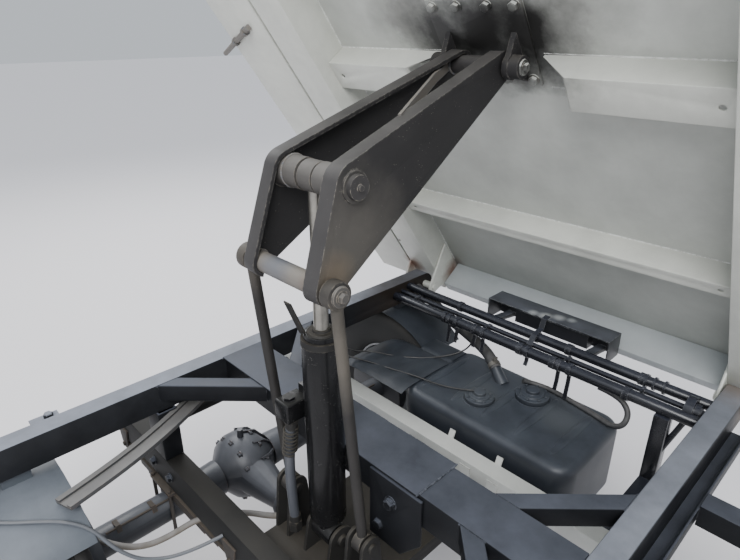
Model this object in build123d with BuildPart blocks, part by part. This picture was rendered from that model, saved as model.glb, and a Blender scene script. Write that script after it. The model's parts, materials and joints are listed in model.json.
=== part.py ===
from build123d import *
from math import acos, atan2, cos, hypot, radians, sin
import os

os.makedirs("parts", exist_ok=True)

# Rear chassis section of a light dump truck whose bed tips over its left edge.
# Millimetres: X forward, Y to the truck's left, Z up, origin at the middle of the front end plate.

# Chassis
rail_overhang = 290
rail_width = 50
rail_height = 90
rail_wall = 4
rail_top = 25
rail_y = 275
plate_width = 680
plate_height = 170
plate_thick = 8
plate_hole_r = 38
bolt_span_y = 620
bolt_span_z = 130
bolt_hole_r = 6.5
cross_tube_r = 24
cross_tube_inset = 330
end_plate_thick = 6

# Running gear
axle_x = -1490
axle_z = -155
axle_tube_r = 40
diff_r = 100
diff_y = -60
nose_length = 222
shaft_r = 28
drum_r = 118
tyre_r = 270
tyre_width = 145
wheel_y = 612
rim_r = 152
hub_r = 42
hub_cap_r = 32
stub_r = 22
stub_out = 26
spring_front = 335
spring_rear = 240
spring_width = 50
leaf_thick = 7
leaf_count = 4
clamp_length = 110
spring_drop = 7
spring_pad = 5
spring_eye_r = 13
spring_pin_r = 7
guard_r = 300
guard_thick = 3
guard_width = 165

# Subframe
front_beam_x = -465
rear_beam_x = -1480
beam_width = 50
beam_height = 75
beam_wall = 4
frame_top = 245
bed_width = 1560
beam_inset = 45
spine_left = 8
spine_width = 105
brace_width = 38
brace_reach = 190
cover_thick = 4
cover_lap = 8

# Tipping hinge and bed
tip_angle = 54
hinge_inset = 70
hinge_pin_r = 12
run_gap = 0.05
move_gap = 5
ear_thick = 8
bed_front = -50
bed_length = 1690
floor_under = 345
floor_thick = 4
front_sill = 60
rear_sill = 110
sill_wall = 4
tail_sill_gap = 20
gate_height = 290
gate_thick = 28
gate_sheet = 4
post_width = 45
post_height = 330
rib_depth = 60
rib_thick = 5
edge_width = 35
gate_gap = 5
hinge_out = 10
knuckle_r = 8
knuckle_mid = 40
knuckle_end = 25
gate_pin_r = 5

# Hoist, in the plane halfway between its two arm plates
hoist_x = -978
arm_pivot_low = (-168, 304)
link_base = (-160, 105)
cylinder_base = (-152, 45)
link_length = 564
arm_ab = 450
arm_bc = 167
arm_ca = 576
arm_half_a = 60
arm_half_b = 88
arm_plate = 8
arm_flange = 24
link_thick = 22
link_gap = 6
barrel_r = 39
barrel_length = 430
barrel_wall = 6
barrel_start = 45
gland_length = 12
fit_gap = 0.3
rod_r = 14
pin_r = 10

# Left side
tank_front = -675
tank_length = 535
tank_inner = 322
tank_width = 313
tank_top = 80
tank_depth = 210
lamp_width = 190
lamp_height = 90
lamp_deep = 38
lamp_z = -12

# Places that follow from the sizes
bed_edge = bed_width / 2
beam_end = bed_edge - beam_inset
hinge_y = bed_edge - hinge_inset
hinge_z = frame_top - beam_height / 2
rail_length = rail_overhang - axle_x
cross_tube_x = (-cross_tube_inset, 110 - rail_length)
shaft_upper = (hinge_y - 85, 224, 13.5)
shaft_lower = (hinge_y - 150, 207, 15)
frame_under = frame_top - beam_height
rail_mid = rail_top - rail_height / 2
rail_under = rail_top - rail_height
rail_inner = rail_y - rail_width / 2
bed_rear = bed_front - bed_length
sill_under = frame_top + move_gap
floor_top = floor_under + floor_thick
tip_hinge = Axis((0, hinge_y, hinge_z), (1, 0, 0))


def turned(point, angle, centre):
    """Turns a point (y, z) about a centre, anticlockwise seen from the front."""
    y, z = point[0] - centre[0], point[1] - centre[1]
    c, s = cos(radians(angle)), sin(radians(angle))
    return centre[0] + c * y - s * z, centre[1] + s * y + c * z


def pivot(centre_a, reach_a, centre_b, reach_b, side):
    """The point that lies the two given reaches from two centres."""
    dy, dz = centre_b[0] - centre_a[0], centre_b[1] - centre_a[1]
    far = hypot(dy, dz)
    turn = acos((reach_a**2 + far**2 - reach_b**2) / (2 * reach_a * far))
    heading = atan2(dz, dy) + side * turn
    return centre_a[0] + reach_a * cos(heading), centre_a[1] + reach_a * sin(heading)


# The linkage with the bed tipped: bed pivot A, rod pivot B, link pivot C
arm_a = turned(arm_pivot_low, -tip_angle, (hinge_y, hinge_z))
arm_c = pivot(link_base, link_length, arm_a, arm_ca, 1)
arm_b = pivot(arm_a, arm_ab, arm_c, arm_bc, -1)

# The cylinder's reach with the bed tipped and lowered
arm_c_low = pivot(link_base, link_length, arm_pivot_low, arm_ca, 1)
arm_b_low = pivot(arm_pivot_low, arm_ab, arm_c_low, arm_bc, -1)
reach_out = hypot(arm_b[0] - cylinder_base[0], arm_b[1] - cylinder_base[1])
reach_in = hypot(arm_b_low[0] - cylinder_base[0], arm_b_low[1] - cylinder_base[1])
stroke = reach_out - reach_in


def save(piece, node, tip=0):
    """Turns a piece about the tipping hinge, names it and writes its STEP file."""
    solid = piece.part.rotate(tip_hinge, -tip) if tip else piece.part
    solid.label = node
    export_step(solid, f"parts/{node}.step")


def along_x(x):
    """The plane across the truck at x: its axes are Y and Z."""
    return Plane.YZ.offset(x)


def along_y(y):
    """The plane along the truck at y: its axes are X and Z."""
    return Plane.XZ.offset(-y)


def bar(radius, sides=12):
    """The outline of a bolt, pin or tube with flat sides."""
    return RegularPolygon(radius, sides)


def bore(radius, sides=12):
    """Cuts a hole whose flat sides clear a pin of that radius."""
    return RegularPolygon(radius + run_gap, sides, major_radius=False, mode=Mode.SUBTRACT)


def spun(steps, plane_at, centre, sides):
    """A solid round a line, with flat sides; steps are its corners as (radius, place on the line)."""
    with BuildPart() as body:
        for radius, place in steps:
            with BuildSketch(plane_at(place)):
                with Locations(centre):
                    RegularPolygon(radius, sides)
        loft(ruled=True)
    return body.part


# Chassis rails, box sections
for side, node in ((1, "chassis_rail_left"), (-1, "chassis_rail_right")):
    with BuildPart() as rail:
        with BuildSketch(along_x(-plate_thick)):
            with Locations((side * rail_y, rail_mid)):
                Rectangle(rail_width, rail_height)
                Rectangle(rail_width - 2 * rail_wall, rail_height - 2 * rail_wall, mode=Mode.SUBTRACT)
        extrude(amount=-(rail_length - plate_thick))
    save(rail, node)

# Front end plate, bolted to the cab frame
with BuildPart() as end_plate:
    with BuildSketch(along_x(-plate_thick)):
        RectangleRounded(plate_width, plate_height, 12)
        with GridLocations(bolt_span_y, bolt_span_z, 2, 2):
            Circle(bolt_hole_r, mode=Mode.SUBTRACT)
        with GridLocations(rail_y / 2, 0, 3, 1):
            RegularPolygon(plate_hole_r, 20, mode=Mode.SUBTRACT)
    extrude(amount=plate_thick)
save(end_plate, "front_end_plate")

# Cross tubes between the rails
with BuildPart() as cross_tubes:
    for x in cross_tube_x:
        with BuildSketch(along_y(-rail_inner)):
            with Locations((x, rail_mid)):
                bar(cross_tube_r, 24)
                RegularPolygon(cross_tube_r - 4, 24, mode=Mode.SUBTRACT)
        extrude(amount=-2 * rail_inner)
save(cross_tubes, "cross_tubes")

# Hoist base between the rails: a pressed channel with two pairs of lugs
link_in = arm_half_b + arm_plate / 2 + 7 + link_gap
link_out = link_in + link_thick
lug_thick = 8
base_half = link_out + link_gap + lug_thick
lug_starts = (-base_half, link_gap - link_in, link_in - link_gap - lug_thick, base_half - lug_thick)
base_top = -20
with BuildPart() as hoist_base:
    with BuildSketch(along_y(-rail_inner)):
        with Locations((hoist_x, base_top - 20)):
            Rectangle(2 * base_half, 40)
        with Locations((hoist_x, base_top - 26)):
            Rectangle(2 * base_half - 12, 40, mode=Mode.SUBTRACT)
    extrude(amount=-2 * rail_inner)
    for place, radius, starts in (
        (cylinder_base, 30, (-42, 34)),
        (link_base, 25, lug_starts),
    ):
        for start in starts:
            with BuildSketch(along_x(hoist_x + start)):
                with Locations(place):
                    bar(radius, 20)
                with BuildLine():
                    Polyline(
                        (place[0] - radius, place[1]),
                        (place[0] + radius, place[1]),
                        (place[0] + radius + 12, base_top - 1),
                        (place[0] - radius - 12, base_top - 1),
                        close=True,
                    )
                make_face()
            extrude(amount=lug_thick)
    for place, radius, start, end in (
        (cylinder_base, 12, -50, 50),
        (link_base, pin_r, -base_half - 6, -link_in + link_gap + lug_thick + 6),
        (link_base, pin_r, link_in - link_gap - lug_thick - 6, base_half + 6),
    ):
        with BuildSketch(along_x(hoist_x + start)):
            with Locations(place):
                bar(radius, 16)
        extrude(amount=end - start)
save(hoist_base, "hoist_base")

# Rear axle: tube, differential housing, spring pads and brake drums: columns radius, reach on each side
drum_in = wheel_y - 112
drum_out = wheel_y - 72
axle_end = wheel_y + stub_out
half_axle = (
    (stub_r, axle_end),
    (stub_r, drum_out),
    (drum_r - 6, drum_out),
    (drum_r, drum_in),
    (axle_tube_r, drum_in),
)
diff_steps = (
    (axle_tube_r, 85),
    (diff_r - 16, 50),
    (diff_r, 16),
    (diff_r, -16),
    (diff_r - 16, -50),
    (axle_tube_r, -85),
)
nose_steps = (
    (62, axle_x + 60),
    (50, axle_x + diff_r + 20),
    (32, axle_x + nose_length - 12),
    (42, axle_x + nose_length - 12),
    (42, axle_x + nose_length),
)
with BuildPart() as axle:
    right = [(radius, -reach) for radius, reach in half_axle]
    housing = [(radius, diff_y - reach) for radius, reach in diff_steps]
    left = [(radius, reach) for radius, reach in reversed(half_axle)]
    add(spun(right + housing + left, along_y, (axle_x, axle_z), 32))
    add(spun(nose_steps, along_x, (diff_y, axle_z), 24))
    with BuildSketch(Plane.XY.offset(axle_z)):
        with Locations((axle_x, -rail_y), (axle_x, rail_y)):
            Rectangle(2 * axle_tube_r - 8, spring_width)
    extrude(amount=axle_tube_r + spring_pad)
save(axle, "rear_axle")

# Propeller shaft from the differential to its bearing under the front cross tube
shaft_rear = axle_x + nose_length
bearing_x = -cross_tube_inset
with BuildPart() as prop_shaft:
    for start, end, radius in (
        (shaft_rear, shaft_rear + 10, 40),
        (shaft_rear + 10, shaft_rear + 60, 22),
        (shaft_rear + 60, bearing_x - 70, shaft_r),
        (bearing_x - 70, bearing_x + 26, 20),
        (bearing_x - 22, bearing_x + 22, 42),
        (bearing_x + 26, bearing_x + 38, 36),
    ):
        with BuildSketch(along_x(start)):
            with Locations((diff_y, axle_z)):
                bar(radius, 16)
        extrude(amount=end - start)
    with BuildSketch(along_x(bearing_x - 10)):
        with BuildLine():
            tube_under = rail_mid - cross_tube_r
            Polyline(
                (diff_y - 36, axle_z),
                (diff_y + 36, axle_z),
                (diff_y + 60, tube_under),
                (diff_y - 60, tube_under),
                close=True,
            )
        make_face()
    extrude(amount=20)
save(prop_shaft, "propeller_shaft")

# Leaf springs under the rails: leaves on circles about one centre, the top one with eyes
spring_seat = axle_z + axle_tube_r + spring_pad
spring_bend_r = (spring_front**2 + spring_drop**2) / (2 * spring_drop)
spring_centre_z = spring_seat + spring_bend_r


def leaf_z(run, layer):
    """Height of the face under a layer of the spring at a run from the axle."""
    return spring_centre_z - ((spring_bend_r - layer * leaf_thick) ** 2 - run**2) ** 0.5


spring_eyes = [(axle_x + run, leaf_z(run, leaf_count - 0.5)) for run in (spring_front, -spring_rear)]
for side, node in ((1, "leaf_spring_left"), (-1, "leaf_spring_right")):
    with BuildPart() as spring:
        with BuildSketch(along_y(side * rail_y - spring_width / 2)):
            for layer in range(leaf_count):
                share = 1 - 0.19 * (leaf_count - 1 - layer)
                front, rear = spring_front * share, -spring_rear * share
                with BuildLine():
                    under = ThreePointArc(
                        (axle_x + rear, leaf_z(rear, layer)),
                        (axle_x, leaf_z(0, layer)),
                        (axle_x + front, leaf_z(front, layer)),
                    )
                    Line(under @ 1, (axle_x + front, leaf_z(front, layer + 1)))
                    over = ThreePointArc(
                        (axle_x + front, leaf_z(front, layer + 1)),
                        (axle_x, leaf_z(0, layer + 1)),
                        (axle_x + rear, leaf_z(rear, layer + 1)),
                    )
                    Line(over @ 1, under @ 0)
                make_face()
            with Locations(*spring_eyes):
                bar(spring_eye_r)
            with Locations(*spring_eyes):
                bore(spring_pin_r, 8)
        extrude(amount=-spring_width)
    save(spring, node)

# Spring hangers: cheeks on both faces of each rail, with a pin through the eye
cheek_thick = 5
with BuildPart() as hangers:
    for side in (-1, 1):
        for x, z in spring_eyes:
            for out in (-1, 1):
                with BuildSketch(along_y(side * rail_y + out * rail_width / 2)):
                    with Locations((x, z)):
                        bar(16, 8)
                    with BuildLine():
                        Polyline(
                            (x - 16, z),
                            (x + 16, z),
                            (x + 30, rail_mid - 6),
                            (x - 30, rail_mid - 6),
                            close=True,
                        )
                    make_face()
                extrude(amount=-out * cheek_thick)
            with BuildSketch(along_y(side * rail_y - rail_width / 2 - cheek_thick - 5)):
                with Locations((x, z)):
                    bar(spring_pin_r, 8)
            extrude(amount=-(rail_width + 2 * cheek_thick + 10))
save(hangers, "spring_hangers")

# Plates and bolts that clamp the springs to the axle
clamp_under = leaf_z(clamp_length / 2, leaf_count)
with BuildPart() as clamps:
    for side in (-1, 1):
        with BuildSketch(Plane.XY.offset(clamp_under)):
            with Locations((axle_x, side * rail_y)):
                Rectangle(clamp_length, spring_width + 28)
        extrude(amount=8)
        with BuildSketch(Plane.XY.offset(axle_z - axle_tube_r - 14)):
            with Locations((axle_x, side * rail_y)):
                with GridLocations(2 * axle_tube_r + 14, spring_width + 16, 2, 2):
                    bar(5, 8)
        extrude(amount=clamp_under - axle_z + axle_tube_r + 14 + 16)
save(clamps, "spring_clamps")

# Wheels: tyre with a tread band, dished steel rim: columns radius, reach out from the wheel's middle
wheel_sides = 36
tyre_half = tyre_width / 2
tyre_steps = (
    (rim_r, tyre_half - 18),
    (rim_r + 20, tyre_half - 4),
    (rim_r + 55, tyre_half),
    (tyre_r - 30, tyre_half - 2),
    (tyre_r - 9, tyre_half - 11),
    (tyre_r, tyre_half - 26),
)
tyre_ring = [*tyre_steps, *[(radius, -reach) for radius, reach in reversed(tyre_steps)]]
rim_in = rim_r - 7
rim_half = tyre_half - 20
rim_bore = (stub_r + run_gap) / cos(radians(180 / wheel_sides))
rim_steps = (
    (hub_cap_r - 4, 52),
    (hub_cap_r, 30),
    (66, 30),
    (84, 44),
    (124, 44),
    (rim_in, 28),
    (rim_in, rim_half),
    (rim_r, rim_half),
    (rim_r, -rim_half),
    (rim_in, -rim_half),
    (rim_in, 20),
    (122, 36),
    (86, 36),
    (68, 22),
    (hub_r, 22),
    (hub_r, -66),
    (rim_bore, -66),
    (rim_bore, stub_out + 4),
)
for side, name in ((1, "left"), (-1, "right")):
    with BuildPart() as tyre:
        ring = [(radius, side * (wheel_y + reach)) for radius, reach in tyre_ring]
        add(spun(ring, along_y, (axle_x, axle_z), wheel_sides))
        with BuildSketch(along_y(side * wheel_y - tyre_half)):
            with Locations((axle_x, axle_z)):
                bar(rim_r, wheel_sides)
        extrude(amount=-tyre_width, mode=Mode.SUBTRACT)
    save(tyre, f"tyre_{name}")

    with BuildPart() as rim:
        dish = [(radius, side * (wheel_y + reach)) for radius, reach in rim_steps]
        add(spun(dish, along_y, (axle_x, axle_z), wheel_sides))
        with BuildSketch(along_y(side * (wheel_y + 10))):
            with Locations((axle_x, axle_z)):
                with PolarLocations(104, 8):
                    bar(10, 8)
        extrude(amount=-side * 50, mode=Mode.SUBTRACT)
    save(rim, f"rim_{name}")

# Mudguards: sheets bent round the tyres, each held by a tab under the rear beam
for side, name in ((1, "left"), (-1, "right")):
    with BuildPart() as guard:
        with BuildSketch(along_y(side * wheel_y - guard_width / 2)):
            with BuildLine():
                turns = [radians(angle) for angle in range(45, 171, 9)]
                under = guard_r - guard_thick
                outer = [(axle_x + guard_r * cos(t), axle_z + guard_r * sin(t)) for t in turns]
                inner = [(axle_x + under * cos(t), axle_z + under * sin(t)) for t in reversed(turns)]
                Polyline(*outer, *inner, close=True)
            make_face()
        extrude(amount=-guard_width)
        with BuildSketch(Plane.XY.offset(axle_z + guard_r - 2 * guard_thick)):
            with Locations((rear_beam_x, side * wheel_y)):
                Rectangle(30, 60)
        extrude(amount=frame_top - beam_height - axle_z - guard_r + 2 * guard_thick)
    save(guard, f"mudguard_{name}")

# Subframe beams: box tubes whose left ends are rounded about the tipping hinge
for x, node in ((front_beam_x, "front_beam"), (rear_beam_x, "rear_beam")):
    with BuildPart() as beam:
        with BuildSketch(along_x(x - beam_width / 2)):
            with BuildLine():
                Polyline(
                    (hinge_y, frame_under),
                    (-beam_end, frame_under),
                    (-beam_end, frame_top),
                    (hinge_y, frame_top),
                )
                ThreePointArc(
                    (hinge_y, frame_top),
                    (hinge_y + beam_height / 2, hinge_z),
                    (hinge_y, frame_under),
                )
            make_face()
        extrude(amount=beam_width)
        with BuildSketch(along_x(x - beam_width / 2 + beam_wall)):
            with Locations(((hinge_y - beam_height / 2 - beam_end) / 2 - 1, hinge_z)):
                Rectangle(beam_end + hinge_y - beam_height / 2 + 2, beam_height - 2 * beam_wall)
        extrude(amount=beam_width - 2 * beam_wall, mode=Mode.SUBTRACT)
        with BuildSketch(along_x(x - beam_width / 2)):
            with Locations((hinge_y, hinge_z)):
                Circle(hinge_pin_r + run_gap)
        extrude(amount=beam_width, mode=Mode.SUBTRACT)
    save(beam, node)

# Spine and its corner braces
spine_mid = spine_left - spine_width / 2
spine_rear = rear_beam_x + beam_width / 2
spine_front = front_beam_x - beam_width / 2
cover_front = hoist_x + 204
with BuildPart() as spine:
    with BuildSketch(along_x(spine_rear)):
        with Locations((spine_mid, hinge_z)):
            Rectangle(spine_width, beam_height)
            Rectangle(spine_width - 2 * beam_wall, beam_height - 2 * beam_wall, mode=Mode.SUBTRACT)
    extrude(amount=spine_front - spine_rear)
    with BuildSketch(Plane.XY.offset(frame_top)):
        with Locations(((spine_rear + cover_front) / 2, spine_mid)):
            Rectangle(cover_front - spine_rear, spine_width + 2 * cover_lap)
    extrude(amount=cover_thick)
save(spine, "subframe_spine")

with BuildPart() as braces:
    for end, toward in ((spine_rear, 1), (spine_front, -1)):
        for edge, out in ((spine_left, 1), (spine_left - spine_width, -1)):
            with BuildSketch(Plane.XY.offset(frame_top - 45)):
                with BuildLine():
                    reach, step = brace_reach, brace_width * 2**0.5
                    Polyline(
                        (end, edge + out * reach),
                        (end + toward * reach, edge),
                        (end + toward * (reach - step), edge),
                        (end, edge + out * (reach - step)),
                        close=True,
                    )
                make_face()
            extrude(amount=45)
save(braces, "corner_braces")

# Gusset bolted to the spine's right side beside the hoist
gusset_x = (-900, -762)
gusset_low = 64
gusset_thick = 8
with BuildPart() as gusset:
    with BuildSketch(along_y(spine_left - spine_width)):
        Polygon(
            (gusset_x[0], frame_top - 8),
            (gusset_x[0], gusset_low),
            (gusset_x[1] - 50, gusset_low),
            (gusset_x[1], gusset_low + 60),
            (gusset_x[1], frame_top - 8),
            align=None,
        )
    extrude(amount=gusset_thick)
    with BuildSketch(along_y(spine_left - spine_width - gusset_thick)):
        with Locations((gusset_x[0] + 62, 185), (gusset_x[0] + 28, 105)):
            RegularPolygon(13, 6)
    extrude(amount=9)
save(gusset, "spine_gusset")

# Channel along the front beam's front face, and the two arms that reach forward from it
channel_front = front_beam_x + beam_width / 2 + 34
channel_high = 200
arm_section = 48
arm_reach = 115
with BuildPart() as channel:
    with BuildSketch(along_y(-beam_end)):
        Polygon(
            (spine_front + beam_width, frame_under),
            (channel_front, frame_under),
            (channel_front, channel_high),
            (channel_front - beam_wall, channel_high),
            (channel_front - beam_wall, frame_under + beam_wall),
            (spine_front + beam_width, frame_under + beam_wall),
            align=None,
        )
    extrude(amount=-(beam_end + hinge_y - beam_height))
    for side in (-1, 1):
        with BuildSketch(along_x(channel_front)):
            with Locations((side * (rail_y + 46), channel_high - arm_section / 2 + 6)):
                Rectangle(arm_section, arm_section)
                Rectangle(arm_section - 8, arm_section - 8, mode=Mode.SUBTRACT)
        extrude(amount=arm_reach)
        with BuildSketch(along_x(channel_front + arm_reach)):
            with Locations((side * (rail_y + 46), channel_high - arm_section / 2 + 6)):
                Rectangle(arm_section, arm_section)
        extrude(amount=4)
save(channel, "front_channel")

# Stand-offs that carry the beams on the rails
with BuildPart() as standoffs:
    for x in (front_beam_x, rear_beam_x):
        for side in (-1, 1):
            with BuildSketch(Plane.XY.offset(rail_top)):
                with Locations((x, side * rail_y)):
                    Rectangle(70, rail_width)
                    Rectangle(58, rail_width - 12, mode=Mode.SUBTRACT)
            extrude(amount=frame_under - rail_top)
save(standoffs, "beam_standoffs")

# Lock shafts between the beams, and the post that stays the lower one
for (y, z, radius), node in ((shaft_upper, "lock_shaft_upper"), (shaft_lower, "lock_shaft_lower")):
    with BuildPart() as shaft:
        with BuildSketch(along_x(spine_rear)):
            with Locations((y, z)):
                Circle(radius)
        extrude(amount=spine_front - spine_rear)
    save(shaft, node)

stay_x = front_beam_x - 105
stay_width = 35
stay_foot = 5
stay_out = shaft_lower[0] + stay_width / 2
rail_outer = rail_y + rail_width / 2
with BuildPart() as post:
    with BuildSketch(Plane.XY.offset(stay_foot)):
        with Locations((stay_x, shaft_lower[0])):
            Rectangle(stay_width, stay_width)
    extrude(amount=shaft_lower[1] - shaft_lower[2] - stay_foot)
    with BuildSketch(Plane.XY.offset(stay_foot)):
        with Locations((stay_x, (rail_outer + stay_out) / 2)):
            Rectangle(stay_width, stay_out - rail_outer)
    extrude(amount=-20)
save(post, "stay_post")

# Pressed bracket outboard of the upper shaft
bracket_x = -956
bracket_length = 388
bracket_width = 75
bracket_height = 70
bracket_y = hinge_y - 55
bracket_top = frame_top + 28
with BuildPart() as bracket:
    with BuildSketch(Plane.XY.offset(bracket_top - bracket_height)):
        with Locations((bracket_x, bracket_y + bracket_width / 2)):
            Rectangle(bracket_length, bracket_width)
    extrude(amount=bracket_height)
    with BuildSketch(Plane.XY.offset(bracket_top - bracket_height - 1)):
        with Locations((bracket_x, bracket_y + bracket_width / 2 - 3)):
            Rectangle(bracket_length - 8, bracket_width)
    extrude(amount=bracket_height - 3, mode=Mode.SUBTRACT)
    with BuildSketch(Plane.XY.offset(bracket_top - bracket_height)):
        with Locations((bracket_x, bracket_y + bracket_width - 18)):
            Rectangle(bracket_length - 150, 30)
    extrude(amount=bracket_height * 0.6)
    for x in (-bracket_length / 2 + 45, bracket_length / 2 - 45):
        with BuildSketch(along_x(bracket_x + x - 12)):
            with BuildLine():
                shaft_side = shaft_upper[0] + shaft_upper[2]
                Polyline(
                    (bracket_y + bracket_width - 3, bracket_top - bracket_height + 14),
                    (shaft_side, shaft_upper[1] + 6),
                    (shaft_side, shaft_upper[1] - 6),
                    (bracket_y + bracket_width - 3, bracket_top - bracket_height),
                    close=True,
                )
            make_face()
        extrude(amount=24)
save(bracket, "shaft_bracket")

# Fuel tank between the left rail and the lock shafts, with ridges across its top and round flanges on it:
# columns x, y, radius, height
tank_mid_y = tank_inner + tank_width / 2
tank_rear = tank_front - tank_length
tank_fittings = ((tank_rear + 205, tank_inner + 108, 42, 12), (tank_rear + 305, tank_inner + 223, 48, 14))
ridge_starts = [tank_front - 70 - step * (tank_length - 120) / 4 for step in range(5)]
with BuildPart() as tank:
    with BuildSketch(Plane.XY.offset(tank_top - tank_depth)):
        with Locations(((tank_front + tank_rear) / 2, tank_mid_y)):
            Rectangle(tank_length, tank_width)
    extrude(amount=tank_depth)
    chamfer(tank.edges().filter_by(Axis.Z), 45)
    chamfer(tank.faces().sort_by(Axis.Z)[-1].edges(), 20)
    chamfer(tank.faces().sort_by(Axis.Z)[0].edges(), 14)
    for x in ridge_starts:
        with BuildSketch(Plane.XY.offset(tank_top - 8)):
            with Locations((x, tank_mid_y)):
                Rectangle(26, tank_width - 100)
            for flange_x, flange_y, radius, height in tank_fittings:
                with Locations((flange_x, flange_y)):
                    RegularPolygon(radius + 1, 20, mode=Mode.SUBTRACT)
        extrude(amount=12)
save(tank, "fuel_tank")

with BuildPart() as fittings:
    for x, y, radius, height in tank_fittings:
        for share, low, high in ((1, 0, height), (0.7, height, height + 4), (0.4, height + 4, height + 14)):
            with BuildSketch(Plane.XY.offset(tank_top + low)):
                with Locations((x, y)):
                    bar(radius * share, 20)
            extrude(amount=high - low)
save(fittings, "tank_fittings")

# Straps that hold the tank against the rail, with legs that stand on the rail's outer face
with BuildPart() as straps:
    strap = 4
    rail_gap = tank_inner - rail_outer
    leg_low = tank_top - tank_depth - strap
    for x in (tank_front - 120, tank_rear + 120):
        with BuildSketch(along_x(x - 15)):
            with Locations((rail_outer + (tank_width + 25) / 2, tank_top - tank_depth - strap / 2)):
                Rectangle(tank_width + 25, strap)
            with Locations((tank_inner - rail_gap / 2, (leg_low + rail_mid) / 2)):
                Rectangle(rail_gap, rail_mid - leg_low)
        extrude(amount=30)
save(straps, "tank_straps")

# Tail lamps on a bar across the rail ends
lamp_x = -rail_length - end_plate_thick
lamp_y = bed_edge - 195
for side, name in ((1, "left"), (-1, "right")):
    with BuildPart() as lamp:
        with BuildSketch(along_x(lamp_x)):
            with Locations((side * lamp_y, lamp_z)):
                Rectangle(lamp_width, lamp_height)
        extrude(amount=-lamp_deep)
        chamfer(lamp.faces().sort_by(Axis.X)[0].edges(), 8)
    save(lamp, f"tail_lamp_{name}")
with BuildPart() as lamp_bracket:
    with BuildSketch(along_x(lamp_x)):
        with Locations((0, lamp_z)):
            Rectangle(2 * lamp_y + lamp_width, lamp_height * 2 / 3)
        with GridLocations(rail_y / 2, 0, 3, 1):
            with Locations((0, lamp_z)):
                RegularPolygon(16, 16, mode=Mode.SUBTRACT)
    extrude(amount=end_plate_thick)
save(lamp_bracket, "lamp_bar")

# Hoist arm: two flanged plates that draw together towards the bed, joined by tubes at the pivots
reach_ab = hypot(arm_a[0] - arm_b[0], arm_a[1] - arm_b[1])
toward_a = ((arm_a[0] - arm_b[0]) / reach_ab, (arm_a[1] - arm_b[1]) / reach_ab)
arm_slope = (arm_half_b - arm_half_a) / reach_ab
stretch = hypot(1, arm_slope)


def on_arm(point):
    """A point (y, z) in the plane of an arm plate: along the arm from B to A, and square to that."""
    y, z = point[0] - arm_b[0], point[1] - arm_b[1]
    return (y * toward_a[0] + z * toward_a[1]) * stretch, z * toward_a[0] - y * toward_a[1]


def arm_plane(side, out):
    """The plane of the front (1) or rear (-1) arm plate, moved out from its middle."""
    lean = side * arm_slope
    normal = Vector(1, lean * toward_a[0], lean * toward_a[1]).normalized()
    middle = Vector(hoist_x + side * arm_half_b, *arm_b)
    return Plane(origin=middle + normal * (side * out), x_dir=(-lean, *toward_a), z_dir=normal)


outline = ((arm_a, 28), (arm_b, 38), (arm_c, 25))


def arm_rings(shrink):
    """Circles about the pivots whose hull is the plate's outline, drawn in by a distance."""
    return [Edge.make_circle(radius - shrink, Plane((*on_arm(place), 0))) for place, radius in outline]


half_c = arm_half_b - on_arm(arm_c)[0] * arm_slope
b_out = arm_half_b + arm_plate / 2
c_out = half_c + arm_plate / 2
a_out = arm_half_a + arm_plate / 2
with BuildPart() as arm:
    for side in (1, -1):
        with BuildSketch(arm_plane(side, -arm_plate / 2)):
            make_hull(arm_rings(0))
        extrude(amount=side * arm_plate)
        with BuildSketch(arm_plane(side, -arm_plate / 2)):
            make_hull(arm_rings(0))
            make_hull(arm_rings(7), mode=Mode.SUBTRACT)
            with BuildLine():
                low_a, low_c = on_arm(arm_a), on_arm(arm_c)
                Polyline(
                    low_a,
                    low_c,
                    (low_c[0] - 40, low_c[1] - 60),
                    (low_a[0] + 60, low_a[1] - 60),
                    close=True,
                )
            make_face(mode=Mode.SUBTRACT)
        extrude(amount=-side * arm_flange)
    for place, radius, low, high in (
        (arm_a, 18, -a_out, a_out),
        (arm_b, 28, 22, b_out),
        (arm_b, 28, -b_out, -22),
        (arm_b, 26, b_out - 2, b_out + 5),
        (arm_b, 26, -b_out - 5, 2 - b_out),
        (arm_b, 20, b_out + 5, b_out + 12),
        (arm_b, 20, -b_out - 12, -b_out - 5),
        (arm_c, 18, -c_out, c_out),
    ):
        with BuildSketch(along_x(hoist_x + low)):
            with Locations(place):
                bar(radius, 24)
        extrude(amount=high - low)
    with BuildSketch(along_x(hoist_x - b_out)):
        with Locations(arm_a):
            RegularPolygon(pin_r + run_gap, 16, major_radius=False)
    extrude(amount=2 * b_out, mode=Mode.SUBTRACT)
save(arm, "hoist_arm")

# Links from the base to the arm's lower pivot
for side, name in ((1, "front"), (-1, "rear")):
    with BuildPart() as link:
        middle = hoist_x + side * (link_in + link_thick / 2)
        with BuildSketch(along_x(middle - link_thick / 2)):
            with Locations(link_base):
                bar(22, 20)
            with Locations(arm_c):
                bar(24, 20)
        extrude(amount=link_thick)
        start = Vector(middle, *link_base)
        way = Vector(middle, *arm_c) - start
        with BuildSketch(Plane(origin=start + way * 0.02, x_dir=(1, 0, 0), z_dir=way)):
            bar(link_thick / 2 - 0.5, 20)
        extrude(amount=way.length * 0.96)
        with BuildSketch(along_x(middle - link_thick / 2)):
            with Locations(link_base):
                RegularPolygon(pin_r + run_gap, 16, major_radius=False)
        extrude(amount=link_thick, mode=Mode.SUBTRACT)
    save(link, f"link_{name}")

# Cylinder: barrel with base eye and gland ring, and the rod with its eye
base_point = Vector(hoist_x, *cylinder_base)
stroke_way = (Vector(hoist_x, *arm_b) - base_point).normalized()


def across_cylinder(distance):
    """The plane across the cylinder at a distance from its base pivot."""
    return Plane(origin=base_point + stroke_way * distance, x_dir=(1, 0, 0), z_dir=stroke_way)


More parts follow.
